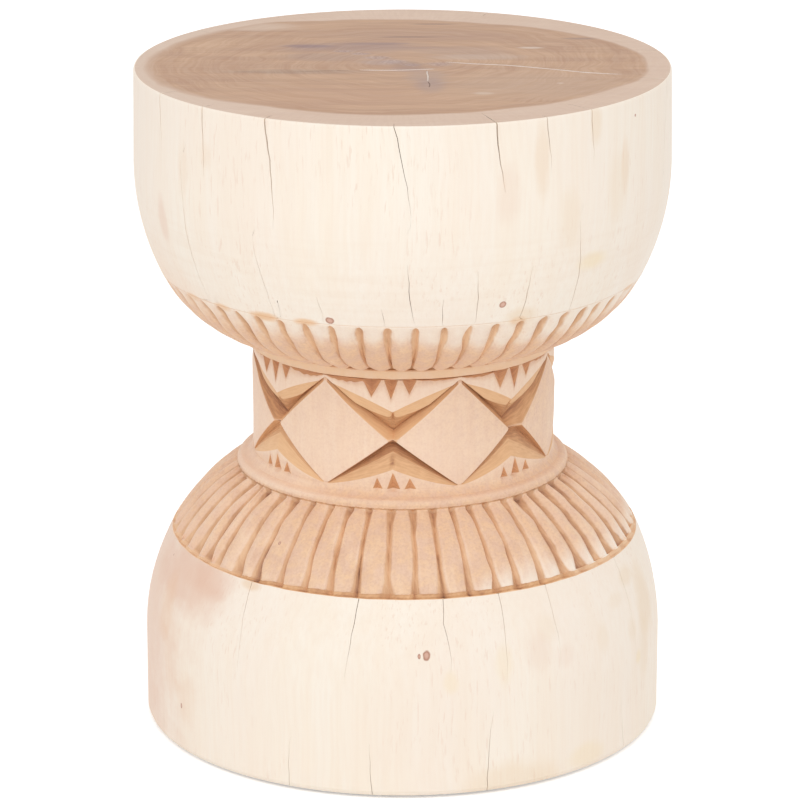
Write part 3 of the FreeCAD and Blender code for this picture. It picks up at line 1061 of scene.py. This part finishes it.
def make_felts(material):
    """Felt discs under the glides, with a worn, rounded edge."""
    draw = random.Random(seeds["felts"])
    for number in range(1, len(glide_angles) + 1):
        node = f"glide_felt_{number}"
        low, high = (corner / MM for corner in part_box(node))
        middle = (low + high) / 2
        size, thick = (high.x - low.x) / 2 - felt_room, high.z - low.z - 2 * felt_air
        bm = bmesh.new()
        rings = bmesh.ops.create_circle(bm, cap_ends=True, cap_tris=False, segments=FELT_SIDES,
                                        radius=size)
        bmesh.ops.translate(bm, verts=rings["verts"], vec=(middle.x, middle.y, low.z + felt_air))
        disc = bmesh.ops.extrude_face_region(bm, geom=bm.faces[:])["geom"]
        top = [item for item in disc if isinstance(item, bmesh.types.BMVert)]
        bmesh.ops.translate(bm, verts=top, vec=(0, 0, thick))
        rims = [edge for edge in bm.edges if len(edge.link_faces) == 2
                and {len(face.verts) for face in edge.link_faces} == {4, FELT_SIDES}]
        bmesh.ops.bevel(bm, geom=rims, offset=felt_rounding * thick, affect="EDGES", segments=3,
                        profile=0.5, material=-1)
        caps = [face for face in bm.faces if len(face.verts) > 4]
        for step in felt_rings:
            bmesh.ops.inset_region(bm, faces=caps, thickness=step * size * 0.5)
        for vert in bm.verts:
            away = math.hypot(vert.co.x - middle.x, vert.co.y - middle.y)
            if away > 0.9 * size:
                pinch = 1 - draw.uniform(0, felt_wear)
                vert.co.x = middle.x + (vert.co.x - middle.x) * pinch
                vert.co.y = middle.y + (vert.co.y - middle.y) * pinch
        smooth_faces(bm)
        finished(bm, f"felt_disc_{number}", [material], node)


# Shader tools

def shown(colour):
    """The linear colour for the numbers 0 to 255 in which it shows on a screen.

    A colour of four parts is linear already."""
    if len(colour) == 4:
        return colour
    parts = [value / 255 for value in colour]
    return (*(part / 12.92 if part <= 0.04045 else ((part + 0.055) / 1.055) ** 2.4
              for part in parts), 1.0)


class Recipe:
    """A shader tree, with short calls for the nodes that the finishes are made of."""

    def __init__(self, tree):
        self.tree = tree

    def node(self, kind, inputs=None, **settings):
        """A node with its settings, its inputs set to values or linked to sockets."""
        node = self.tree.nodes.new("ShaderNode" + kind)
        for name, value in settings.items():
            setattr(node, name, value)
        for name, value in (inputs or {}).items():
            self.feed(value, node.inputs[name])
        return node

    def feed(self, value, socket):
        if isinstance(value, bpy.types.NodeSocket):
            self.tree.links.new(value, socket)
        else:
            socket.default_value = shown(value) if socket.type == "RGBA" else value

    def math(self, operation, first, second=0.0, third=0.0):
        return self.node("Math", {0: first, 1: second, 2: third}, operation=operation).outputs[0]

    def times(self, first, second):
        return self.math("MULTIPLY", first, second)

    def scaled(self, value, by, start):
        """A value times another, on top of a third."""
        return self.math("MULTIPLY_ADD", value, by, start)

    def vector(self, operation, first, second=(0, 0, 0), third=(0, 0, 0), output=0):
        return self.node("VectorMath", {0: first, 1: second, 2: third},
                         operation=operation).outputs[output]

    def mix(self, factor, first, second, blend="MIX"):
        """A mix of two colours."""
        return self.node("Mix", {0: factor, 6: first, 7: second}, data_type="RGBA",
                         blend_type=blend).outputs[2]

    def tinted(self, colour, *tints):
        """A colour that takes a share of each tint where its mask lies."""
        for mask, share, tint in tints:
            colour = self.mix(self.times(mask, share), colour, tint)
        return colour

    def ease(self, value, low, high, to_low=0.0, to_high=1.0):
        """A value's place between two limits, eased and held at both."""
        return self.node("MapRange", {0: value, 1: low, 2: high, 3: to_low, 4: to_high},
                         interpolation_type="SMOOTHSTEP").outputs[0]

    def noise(self, vector, scale, detail=3.0, rough=0.5, stretch_by=(1, 1, 1)):
        """Soft noise on stretched coordinates, from 0 to 1."""
        moved = self.node("Mapping", {"Vector": vector, "Scale": stretch_by}).outputs[0]
        return self.node("TexNoise", {"Vector": moved, "Scale": scale, "Detail": detail,
                                      "Roughness": rough}).outputs["Fac"]

    def ramp(self, value, stops):
        """A colour from a line of colours at their places."""
        node = self.node("ValToRGB", {"Fac": value})
        line = node.color_ramp.elements
        stops = [(position, shown(colour)) for position, colour in stops]
        line[0].position, line[0].color = stops[0]
        line[1].position, line[1].color = stops[-1]
        for position, colour in stops[1:-1]:
            line.new(position).color = colour
        return node.outputs["Color"]

    def attribute(self, name):
        return self.node("Attribute", attribute_name=name).outputs["Fac"]

    def group(self, name, **inputs):
        """The outputs of one of the node groups."""
        return self.node("Group", inputs, node_tree=groups[name]).outputs

    def mark(self, place, middle, size, stretch_by, rough, edge):
        """The outputs of the mark group, for a mark of a size in millimetres."""
        return self.group("mark", Place=place, Middle=middle, Size=size * MM, Stretch=stretch_by,
                          Rough=rough, Edge=edge)

    def seen_directly(self):
        """1 where the camera sees a surface itself, or in a reflection or through glass."""
        path = self.node("LightPath").outputs
        return self.math("MAXIMUM", path["Is Camera Ray"], self.math(
            "MAXIMUM", path["Is Glossy Ray"], path["Is Transmission Ray"]))


def new_group(name, build, inputs):
    """A node group that a function builds from its inputs, and whose outputs it gives by name."""
    tree = bpy.data.node_groups.new(name, "ShaderNodeTree")
    for label, value in inputs.items():
        kind = "NodeSocketFloat" if isinstance(value, float) else "NodeSocketVector"
        tree.interface.new_socket(label, in_out="INPUT", socket_type=kind).default_value = value
    make = Recipe(tree)
    made = build(make, tree.nodes.new("NodeGroupInput").outputs)
    for label in made:
        tree.interface.new_socket(label, in_out="OUTPUT", socket_type="NodeSocketFloat")
    result = tree.nodes.new("NodeGroupOutput").inputs
    for label, value in made.items():
        make.feed(value, result[label])
    return tree


# How far out the heartwood reaches on the top, by angle from the front, in millimetres
top_heart_reach = [
    (-180, 141), (-158, 148), (-146, 159), (-120, 162), (-90, 167), (-68, 165), (-56, 159),
    (-36, 148), (0, 146), (12, 143), (36, 146), (62, 152), (78, 160), (100, 160), (120, 154),
    (143, 144), (155, 139), (180, 141)]
# The same on the foot, and on the bands from their middle to their right, in metres
foot_heart_reach = 0.14
band_heart_reach = (0.166, 0.150)
# Heights between which the top's line takes over from the bands', in metres
bowl_change = (0.16, 0.38)


def heartwood(make, given):
    """Where the wood is heartwood: inside an uneven line that shifts with height."""
    out = make.vector("LENGTH", make.vector("MULTIPLY", given["Place"], (1, 1, 0)), output="Value")
    parts = make.node("SeparateXYZ", {0: given["Place"]}).outputs
    turn = make.math("ARCTAN2", parts["X"], make.times(parts["Y"], -1.0))
    top_edge = make.ramp(make.scaled(turn, 0.5 / math.pi, 0.5), [
        (0.5 + angle / 360, (reach * MM, reach * MM, reach * MM, 1))
        for angle, reach in top_heart_reach])
    across = make.math("DIVIDE", parts["X"], make.math("MAXIMUM", out, 0.001))
    band_edge = make.ease(across, 0.0, 0.5, *band_heart_reach)
    above_foot = make.ease(parts["Z"], foot_top * MM, foot_top * MM + 0.001)
    low_edge = make.node("Mix", {0: above_foot, 2: foot_heart_reach, 3: band_edge}).outputs[0]
    edge = make.node("Mix", {0: make.ease(parts["Z"], *bowl_change), 2: low_edge, 3: top_edge})
    waver = make.math("SUBTRACT", make.noise(given["Place"], 22.0, 3.0, 0.5, (1, 1, 0.35)), 0.5)
    edge = make.scaled(waver, 0.008, edge.outputs[0])
    left = make.ease(across, -0.45, -0.85)
    soft = make.times(given["Softness"], make.scaled(left, 1.5, 1.0))
    inside = make.math("SUBTRACT", edge, out)
    return {"Heartwood": make.ease(inside, make.times(soft, -1.0), soft), "Left": left}


def wood_fibre(make, given):
    """Fibres along the log: broad streaks, fine streaks, short dashes and their height."""
    warp = make.node("TexNoise", {"Vector": given["Place"], "Scale": 9.0, "Detail": 2.0})
    warp = make.vector("SUBTRACT", warp.outputs["Color"], (0.5, 0.5, 0.5))
    place = make.vector("MULTIPLY_ADD", warp, (0.012, 0.012, 0.012), given["Place"])
    streaks = make.noise(place, 60.0, 4.0, 0.55, (1, 1, 0.07))
    hairs = make.noise(place, 420.0, 3.0, 0.6, (1, 1, 0.035))
    dashes = make.noise(place, 560.0, 2.0, 0.5, (1, 1, 0.12))
    where = make.noise(place, 14.0, 2.0, 0.5, (1, 1, 0.6))
    return {"Streaks": make.ease(streaks, 0.3, 0.7), "Hairs": make.ease(hairs, 0.35, 0.7),
            "Dashes": make.times(make.ease(dashes, 0.58, 0.72), make.ease(where, 0.4, 0.62)),
            "Height": make.scaled(streaks, 0.4, hairs)}


def mark(make, given):
    """A mark round one place: full in the middle, with an uneven edge, and how far out one is."""
    away = make.vector("SUBTRACT", given["Place"], given["Middle"])
    away = make.vector("LENGTH", make.vector("MULTIPLY", away, given["Stretch"]), output="Value")
    far = make.math("DIVIDE", away, given["Size"])
    far = make.math("ADD", far, make.math("SUBTRACT", given["Rough"], 0.5))
    inside = make.ease(far, make.math("ADD", given["Edge"], 1.0),
                       make.math("SUBTRACT", 1.0, given["Edge"]))
    return {"Mark": inside, "Out": far}


def growth_rings(make, given):
    """Growth rings round the pith, as broad bands and fine lines, and the rays that cross them."""
    flat = make.vector("SUBTRACT", given["Place"], given["Pith"])
    flat = make.vector("MULTIPLY", flat, (1, 1, 0))
    drift = make.math("SUBTRACT", make.noise(flat, 13.0, 3.0, 0.5), 0.5)
    bent = make.scaled(drift, 0.05, make.vector("LENGTH", flat, output="Value"))
    ring_place = make.node("CombineXYZ", {0: bent}).outputs[0]
    broad = make.vector("MULTIPLY_ADD", flat, (0.06, 0.06, 0.0), ring_place)
    round_place = make.vector("MULTIPLY_ADD", make.vector("NORMALIZE", flat), (1, 1, 0),
                              make.vector("MULTIPLY", flat, (0.8, 0.8, 0)))
    return {"Bands": make.ease(make.noise(broad, 75.0, 3.0, 0.6), 0.32, 0.68),
            "Lines": make.ease(make.noise(broad, 420.0, 2.0, 0.6), 0.3, 0.7),
            "Rays": make.ease(make.noise(round_place, 60.0, 3.0, 0.6), 0.35, 0.7)}


def fine_grit(make, given):
    """Fine grit: broad clouds, small grains and the height that both give."""
    grains = make.noise(given["Place"], given["Grain"], 4.0, 0.65)
    clouds = make.noise(given["Place"], given["Cloud"], 3.0, 0.5)
    return {"Grains": make.ease(grains, 0.3, 0.7), "Clouds": make.ease(clouds, 0.3, 0.7),
            "Height": make.scaled(clouds, 0.5, grains)}


black, white = (0, 0, 0, 1), (1, 1, 1, 1)
nowhere = (0, 0, 0)
groups = {
    "heartwood": new_group("heartwood", heartwood, {"Place": nowhere, "Softness": 0.004}),
    "fibre": new_group("wood_fibre", wood_fibre, {"Place": nowhere}),
    "mark": new_group("mark", mark, {"Place": nowhere, "Middle": nowhere, "Size": 0.004,
                                     "Stretch": (1, 1, 1), "Rough": 0.5, "Edge": 0.25}),
    "rings": new_group("growth_rings", growth_rings, {"Place": nowhere, "Pith": nowhere}),
    "grit": new_group("fine_grit", fine_grit, {"Place": nowhere, "Grain": 900.0, "Cloud": 60.0})}


class Finish(Recipe):
    """A material with one shader, on the piece's own coordinates."""

    def __init__(self, name):
        self.material = bpy.data.materials.new(name)
        self.material.use_nodes = True
        super().__init__(self.material.node_tree)
        self.tree.nodes.clear()
        self.place = self.node("TexCoord").outputs["Object"]

    def done(self, colour, roughness, bump=None, **settings):
        """Feeds the shader, bumped by a height, strength and distance, and gives the material."""
        inputs = {"Base Color": colour, "Roughness": roughness}
        if bump:
            inputs["Normal"] = self.node("Bump", dict(zip(
                ("Height", "Strength", "Distance"), bump))).outputs[0]
        shader = self.node("BsdfPrincipled", {**inputs, **settings})
        self.node("OutputMaterial", {0: shader.outputs[0]})
        return self.material


# Finishes

def on_side(angle, up):
    """A point in metres on the log's side at an angle and a height in millimetres."""
    heights = [row[1] for row in outline_rows]
    out = np.interp(up, heights, [row[0] for row in outline_rows])
    turn = math.radians(angle)
    return (out * math.sin(turn) * MM, -out * math.cos(turn) * MM, up * MM)


def on_top(x, y):
    """A point in metres on the log's top at a place in millimetres."""
    return (x * MM, y * MM, top_height * MM)


# Stains of the side: angle, height, size, how tall for its width, colour and strength
pink, amber, yellow = (229, 185, 160), (241, 217, 186), (248, 226, 184)
tan_smear, orange = (238, 208, 176), (238, 190, 140)
side_stains = [
    (-92, 78, 92, 1.35, pink, 0.5), (-62, 118, 42, 0.5, pink, 0.5),
    (-39, 130, 7, 0.4, tan_smear, 0.6), (-52, 126, 22, 0.5, pink, 0.45),
    (-67, 98, 10, 2.2, orange, 0.2), (-62, 70, 12, 2.6, orange, 0.12),
    (-56, 44, 11, 1.6, orange, 0.1), (71, 96, 14, 1.6, amber, 0.45),
    (64, 118, 9, 0.7, amber, 0.4), (68, 66, 9, 2.2, amber, 0.3),
    (57, 108, 8, 0.6, amber, 0.22), (62, 84, 6, 1.2, amber, 0.25),
    (50, 89, 6, 1.6, amber, 0.22), (34, 106, 7, 1.4, amber, 0.2),
    (38, 86, 7, 1.0, pink, 0.12), (44, 12, 16, 0.5, yellow, 0.3),
    (64.4, 62, 4, 1.2, yellow, 0.4), (22.5, 88, 6, 2.2, yellow, 0.25),
    (10.3, 80, 4.5, 1.6, yellow, 0.3), (31.2, 93, 9, 1.3, pink, 0.14),
    (25, 5, 30, 0.5, amber, 0.4), (36.5, 382, 8, 2.2, amber, 0.25),
    (29.6, 424, 5, 4.5, tan_smear, 0.35), (53.0, 408, 4, 4.0, tan_smear, 0.35),
    (22.0, 404, 8, 2.0, pink, 0.16), (50, 394, 9, 2.5, amber, 0.22),
    (-52, 405, 5, 3.0, tan_smear, 0.2), (-44.5, 419, 5, 1.6, tan_smear, 0.2),
    (43.5, 440, 5, 2.4, amber, 0.4), (27.5, 319, 10, 0.6, amber, 0.5),
    (-33.0, 316.0, 10, 0.3, orange, 0.8), (-22.2, 316.3, 7, 0.35, orange, 0.75),
    (-46.0, 315.5, 7, 0.35, orange, 0.6), (-57.0, 315.5, 7, 0.35, orange, 0.5),
    (66.0, 315.6, 8, 0.3, orange, 0.5), (27.0, 316.0, 5, 0.5, orange, 0.4),
    (-61, 366, 5, 3.0, pink, 0.3), (44, 350, 12, 0.5, yellow, 0.5),
    (-142, 92, 55, 1.2, pink, 0.35), (150, 60, 40, 1.6, amber, 0.4),
    (118, 380, 26, 2.0, pink, 0.25), (-160, 400, 18, 2.5, amber, 0.3),
    (172, 330, 22, 0.7, tan_smear, 0.3), (-98, 350, 24, 1.6, pink, 0.25)]

# Knots and small marks of the side: angle, height, size and how tall for its width
side_knots = [
    (22.2, 329.3, 2.3, 1.0), (-16.4, 319.2, 3.0, 0.85), (56.8, 438.4, 0.9, 1.2),
    (5.2, 98.4, 2.6, 1.35), (3.6, 98.0, 1.1, 1.7), (-57.5, 34.0, 0.9, 2.0),
    (-72.9, 126.0, 0.7, 3.0), (-35.2, 156.4, 1.0, 2.2), (102.0, 366.0, 2.4, 1.2),
    (165.0, 74.0, 3.1, 1.3), (-148.0, 388.0, 1.3, 1.4), (-120.0, 101.0, 1.6, 1.5)]


def cut_wood(make, stain, patchy, warm, rosy):
    """The colour of wood that a gouge has opened, darker where painted shade fills deep cuts, by
    how brown, patchy, warm and rosy it is.
    """
    shade = make.ramp(make.times(stain, make.scaled(patchy, 0.9, 0.55)), [
        (0.0, (250, 214, 176)), (0.22, (231, 189, 150)), (0.42, (211, 164, 125)),
        (0.62, (190, 141, 108)), (0.85, (156, 110, 82)), (1.0, (122, 82, 60))])
    shade = make.mix(warm, shade, (255, 248, 235), "MULTIPLY")
    return make.mix(rosy, shade, (255, 243, 238), "MULTIPLY")


def side_wood():
    """Long grain: pale sapwood, peach heartwood, and browner wood where tools have cut into it."""
    make = Finish("side_wood")
    place = make.place
    heart = make.group("heartwood", Place=place, Softness=0.007)["Heartwood"]
    fibre = make.group("fibre", Place=place)
    cloud = make.ease(make.noise(place, 11.0, 3.0, 0.5, (1, 1, 0.5)), 0.3, 0.7)
    patchy = make.noise(place, 140.0, 3.0, 0.6)
    rough = make.noise(place, 45.0, 3.0, 0.6)
    speckle = make.ease(make.noise(place, 620.0, 2.0, 0.6), 0.4, 0.7)
    sap = make.tinted(make.mix(fibre["Streaks"], (253, 243, 229), (252, 239, 222)),
                      (fibre["Hairs"], 0.2, (243, 222, 200)),
                      (fibre["Dashes"], 0.35, (232, 200, 176)), (cloud, 0.3, (250, 233, 220)))
    peach = make.tinted(make.mix(fibre["Streaks"], (253, 230, 207), (250, 223, 198)),
                        (fibre["Hairs"], 0.2, (238, 200, 170)),
                        (speckle, 0.3, (240, 204, 178)), (cloud, 0.4, (247, 217, 196)))
    wood = make.mix(heart, sap, peach)
    for angle, up, size, tall, colour, strength in side_stains:
        spot = make.mark(place, on_side(angle, up), size, (1, 1, 1 / tall), rough, 0.5)
        wood = make.tinted(wood, (spot["Mark"], strength, colour))
    # Wood near the cuts takes their colour, and the painted shade of the hollows and groove walls
    stain, cut_open = make.attribute("stain"), make.attribute("cut")
    ragged = make.scaled(patchy, 1.2, 0.4)
    tint = make.times(make.times(stain, make.scaled(heart, 0.65, 0.35)), ragged)
    tints = make.tinted(
        make.mix(make.ease(patchy, 0.35, 0.65), (241, 200, 159), (236, 199, 173)),
        (speckle, 0.5, (216, 174, 144)), (fibre["Hairs"], 0.3, (226, 184, 150)))
    wood = make.mix(make.ease(tint, 0.0, 0.45, 0.0, 0.85), wood, tints)
    wood = make.mix(make.ease(tint, 0.35, 1.0, 0.0, 0.8), wood, (216, 173, 144))
    # The cuts themselves, with the lines that the gouge's strokes leave
    lane = make.node("CombineXYZ", {"Z": make.times(make.attribute("stroke"), MM)}).outputs[0]
    lane = make.vector("MULTIPLY_ADD", place, (0.14, 0.14, 0.14), lane)
    gouged = make.ease(make.noise(lane, 850.0, 3.0, 0.65), 0.32, 0.68)
    gouged = make.scaled(gouged, 0.55, make.times(patchy, 0.45))
    shade = cut_wood(make, stain, gouged, make.ease(cut_open, band_cut, 0.9),
                     make.ease(cut_open, 1.0, rosy_cut))
    wood = make.mix(make.ease(make.times(cut_open, ragged), 0.08, 0.3), wood, shade)
    for angle, up, size, tall in side_knots:
        knot = make.mark(place, on_side(angle, up), size, (1, 1, 1 / tall), patchy, 0.16)
        wood = make.mix(knot["Mark"], wood, make.ramp(knot["Out"], [
            (0.0, (222, 184, 164)), (0.55, (214, 170, 150)), (0.8, (180, 130, 110)),
            (1.0, (198, 156, 134))]))
    turned = make.ease(make.noise(place, 260.0, 2.0, 0.5, (0.05, 0.05, 1)), 0.4, 0.75)
    low_bowl = make.ramp(make.node("SeparateXYZ", {0: place}).outputs["Z"], [
        (0.30, black), (0.325, white), (0.36, white), (0.39, black)])
    wood = make.tinted(wood, (turned, make.times(low_bowl, 0.12), (238, 214, 190)))
    # Checks are painted dark grey-brown along their middle: painted shade in the slit
    check_shade = make.ease(make.attribute("check"), 0.02, 0.8, 0.0, 0.95)
    wood = make.mix(check_shade, wood, (140, 118, 102))
    return make.done(wood, 0.58, (fibre["Height"], 0.22, 0.0003))


# Marks of the top: place, size, how much narrower from front to back, colour and strength
top_marks = [
    ((-30, 52), 46, 3.2, (158, 132, 128), 0.5), ((-50, 22), 30, 2.6, (164, 138, 128), 0.35),
    ((10, 92), 60, 3.6, (178, 142, 122), 0.4), ((50, 22), 30, 3.8, (204, 182, 166), 0.45),
    ((-12, 6), 15, 1.8, (182, 158, 150), 0.5), ((86, 51), 7, 3.0, (222, 204, 190), 0.7),
    ((122, 80), 13, 4.5, (150, 124, 114), 0.6), ((16, -40), 12, 0.6, (176, 150, 138), 0.5),
    ((-70, -22), 44, 7.0, (160, 134, 118), 0.45), ((-104, 117), 30, 2.6, (222, 200, 182), 0.5),
    ((20, 127), 15, 9.0, (134, 104, 96), 0.7), ((6, 85), 19, 8.0, (142, 110, 98), 0.6),
    ((-64, 56), 16, 3.6, (140, 112, 116), 0.6), ((-22, 64), 24, 6.0, (144, 118, 120), 0.5),
    ((40, 40), 26, 2.0, (176, 150, 140), 0.35), ((2, -16), 14, 2.2, (170, 138, 132), 0.5),
    ((18, -62), 9, 0.5, (162, 138, 134), 0.5), ((4, -4), 10, 0.8, (158, 126, 110), 0.5),
    ((52, -85), 6, 2.0, (220, 202, 186), 0.5), ((102, -56), 2.2, 1.4, (226, 210, 196), 0.6),
    ((-40, -96), 60, 2.0, (194, 152, 124), 0.35), ((90, -60), 60, 1.7, (200, 170, 146), 0.4)]
# Patches of fine flecks on the top: place and size
top_flecks = [((-40, 40), 5), ((-28, 32), 5), ((-17, 20), 6), ((-6, 8), 6), ((6, -2), 5),
              ((24, 1), 7)]
# In metres
pith_place = (0.004, 0.002, 0.0)


def end_wood(name, heart_colours, sap_colours, marks, flecks_at, roughness):
    """End grain: rings round the pith, heartwood in the middle and paler sapwood round it."""
    make = Finish(name)
    place = make.place
    zone = make.group("heartwood", Place=place, Softness=0.0022)
    rings = make.group("rings", Place=place, Pith=pith_place)
    cloud = make.ease(make.noise(place, 9.0, 4.0, 0.6, (1, 1.8, 1)), 0.3, 0.7)
    drawn = make.ease(make.noise(place, 70.0, 5.0, 0.7, (0.16, 1.5, 1)), 0.35, 0.68)
    flecks = make.ease(make.noise(place, 260.0, 3.0, 0.7, (0.35, 1.2, 1)), 0.5, 0.75)
    rough = make.noise(place, 60.0, 3.0, 0.6, (0.6, 1.4, 1))
    light, dark, deep = heart_colours
    inner = make.tinted(light, (rings["Bands"], 0.8, dark), (cloud, 0.5, dark), (drawn, 0.5, deep),
                        (flecks, 0.3, light), (rings["Lines"], 0.2, deep))
    for (x, y), size, narrow, colour, strength in marks:
        spot = make.mark(place, on_top(x, y), size, (1, narrow, 1), rough, 0.55)
        inner = make.tinted(inner, (spot["Mark"], strength, colour))
    fine_flecks = make.ease(make.noise(place, 800.0, 2.0, 0.7, (0.4, 1.2, 1)), 0.46, 0.6)
    flecked = make.mix(fine_flecks, (146, 118, 122), (214, 196, 190))
    for (x, y), size in flecks_at:
        spot = make.mark(place, on_top(x, y), size, (0.8, 1.2, 1), rough, 0.6)
        inner = make.tinted(inner, (spot["Mark"], 0.45, flecked))
    pale, grey, on_left = sap_colours
    outer = make.tinted(pale, (rings["Rays"], 0.35, grey), (drawn, 0.35, grey),
                        (cloud, 0.35, grey), (zone["Left"], 0.5, on_left))
    heart = zone["Heartwood"]
    border_line = make.times(make.times(heart, make.math("SUBTRACT", 1.0, heart)), 1.6)
    wood = make.mix(border_line, make.mix(heart, outer, inner), dark)
    return make.done(wood, make.scaled(rings["Lines"], 0.12, roughness),
                     (make.scaled(rings["Lines"], 0.5, drawn), 0.12, 0.0003),
                     **{"Specular IOR Level": 0.25})


def shaded_check_wall():
    """Wood inside a check, painted dark as the shade that fills the slit."""
    make = Finish("shaded_check_wall")
    grit = make.group("grit", Place=make.place, Grain=700.0, Cloud=90.0)
    wood = make.tinted(make.mix(grit["Clouds"], (138, 110, 92), (104, 80, 66)),
                       (grit["Grains"], 0.4, (82, 62, 52)))
    return make.done(wood, 0.85, (grit["Height"], 0.4, 0.0003))


def filler_paste():
    """Pale filler, sanded level, with fine dust and faint clouds."""
    make = Finish("filler_paste")
    grit = make.group("grit", Place=make.place, Grain=1500.0, Cloud=110.0)
    paste = make.tinted(make.mix(grit["Clouds"], (240, 226, 214), (226, 207, 193)),
                        (grit["Grains"], 0.35, (212, 190, 174)))
    return make.done(paste, make.scaled(grit["Grains"], 0.2, 0.4), (grit["Height"], 0.2, 0.0001))


def cup_plastic():
    """Brown moulded plastic with a fine matt texture and rubbed, paler patches."""
    make = Finish("cup_plastic")
    grit = make.group("grit", Place=make.place, Grain=2600.0, Cloud=240.0)
    plastic = make.tinted(make.mix(grit["Grains"], (98, 76, 60), (82, 62, 48)),
                          (grit["Clouds"], 0.35, (124, 100, 82)))
    return make.done(plastic, make.scaled(grit["Clouds"], 0.18, 0.38),
                     (grit["Height"], 0.25, 0.00008))


def pressed_felt():
    """Pressed felt: matted hairs that cross in every direction, with lighter and darker tufts."""
    make = Finish("pressed_felt")
    tufts = make.noise(make.place, 420.0, 4.0, 0.7)
    hairs = make.math("MAXIMUM", make.noise(make.place, 1500.0, 3.0, 0.7, (1, 0.12, 0.5)),
                      make.noise(make.place, 1500.0, 3.0, 0.7, (0.12, 1, 0.5)))
    felt = make.mix(make.ease(tufts, 0.35, 0.65), (134, 110, 90), (104, 84, 68))
    felt = make.mix(make.ease(hairs, 0.55, 0.75, 0.0, 0.6), felt, (164, 140, 118))
    return make.done(felt, 0.95, (make.math("ADD", hairs, tufts), 0.6, 0.0003),
                     **{"Sheen Weight": 0.3})


def nail_steel():
    """Bright nail steel with drawn scratches along the shank and dull, greyer clouds."""
    make = Finish("nail_steel")
    grit = make.group("grit", Place=make.place, Grain=1200.0, Cloud=300.0)
    drawn = make.ease(make.noise(make.place, 2400.0, 2.0, 0.5, (1, 1, 0.03)), 0.35, 0.65)
    steel = make.tinted(make.mix(grit["Clouds"], (186, 186, 188), (150, 148, 148)),
                        (drawn, 0.3, (120, 118, 118)))
    return make.done(steel, make.scaled(drawn, 0.2, 0.3),
                     (make.math("ADD", drawn, grit["Grains"]), 0.2, 0.00005), Metallic=1.0)


# Studio

floor_size = 16
floor_middle = (0, 3, 0)
floor_glow = 0.36
sky_light = 0.8
sky_seen = 1.0
lamp_size = (1.8, 1.4)
lamp_energy = 12.6
lamp_place = (-0.2, -1.75, 1.9)
lamp_tilt = (48, 0, -7)
camera_sensor = 36
camera_lens = 186.42
camera_shift = -0.00325
camera_place = (0, -2.67442, 1.04466)
camera_tilt = (72.8307, 0, 0)


def stand(name, data, place, tilt):
    """Puts a lamp or the camera at its place, and gives the object that holds it."""
    holder = bpy.data.objects.new(name, data)
    holder.location = place
    holder.rotation_euler = [math.radians(angle) for angle in tilt]
    bpy.context.scene.collection.objects.link(holder)
    return holder


def make_studio():
    """White floor, even light, and a soft lamp above the front."""
    bpy.ops.mesh.primitive_plane_add(size=floor_size, location=floor_middle)
    floor = bpy.context.object
    floor.name = "floor"
    make = Finish("floor_paper")
    paper = make.mix(make.noise(make.place, 300.0, 3.0, 0.6), (252, 252, 252), (249, 249, 249))
    glow = make.times(make.seen_directly(), floor_glow)
    floor.data.materials.append(make.done(
        paper, 0.9, **{"Emission Color": white, "Emission Strength": glow}))
    world = bpy.data.worlds.new("studio")
    bpy.context.scene.world = world
    world.use_nodes = True
    world.node_tree.nodes.clear()
    make = Recipe(world.node_tree)
    strength = make.scaled(make.seen_directly(), sky_seen - sky_light, sky_light)
    sky = make.node("Background", {"Color": white, "Strength": strength})
    make.node("OutputWorld", {0: sky.outputs[0]})
    lamp = bpy.data.lights.new("front_lamp", "AREA")
    lamp.shape = "RECTANGLE"
    lamp.size, lamp.size_y = lamp_size
    lamp.energy = lamp_energy
    stand("front_lamp", lamp, lamp_place, lamp_tilt)


def make_camera():
    camera = bpy.data.cameras.new("camera")
    camera.sensor_width = camera_sensor
    camera.lens = camera_lens
    camera.shift_x = camera_shift
    bpy.context.scene.camera = stand("camera", camera, camera_place, camera_tilt)


# Making

bpy.context.scene.view_settings.view_transform = "Standard"
make_camera()
make_studio()
top_heart = ((210, 172, 139), (193, 153, 123), (171, 131, 108))
top_sap = ((223, 196, 175), (209, 179, 158), (219, 196, 178))
under_heart = ((214, 184, 156), (200, 166, 138), (184, 150, 124))
under_sap = ((238, 220, 200), (226, 205, 182), (230, 208, 184))
make_log([side_wood(),
          end_wood("top_end_grain", top_heart, top_sap, top_marks, top_flecks, 0.45),
          shaded_check_wall(), end_wood("under_end_grain", under_heart, under_sap, [], [], 0.75)])
make_fillers(filler_paste())
make_felts(pressed_felt())
finishes = {"glide_cup": cup_plastic(), "glide_nails": nail_steel()}
for name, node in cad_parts.items():
    for start, finish in finishes.items():
        if name.startswith(start):
            node.data.materials.clear()
            node.data.materials.append(finish)
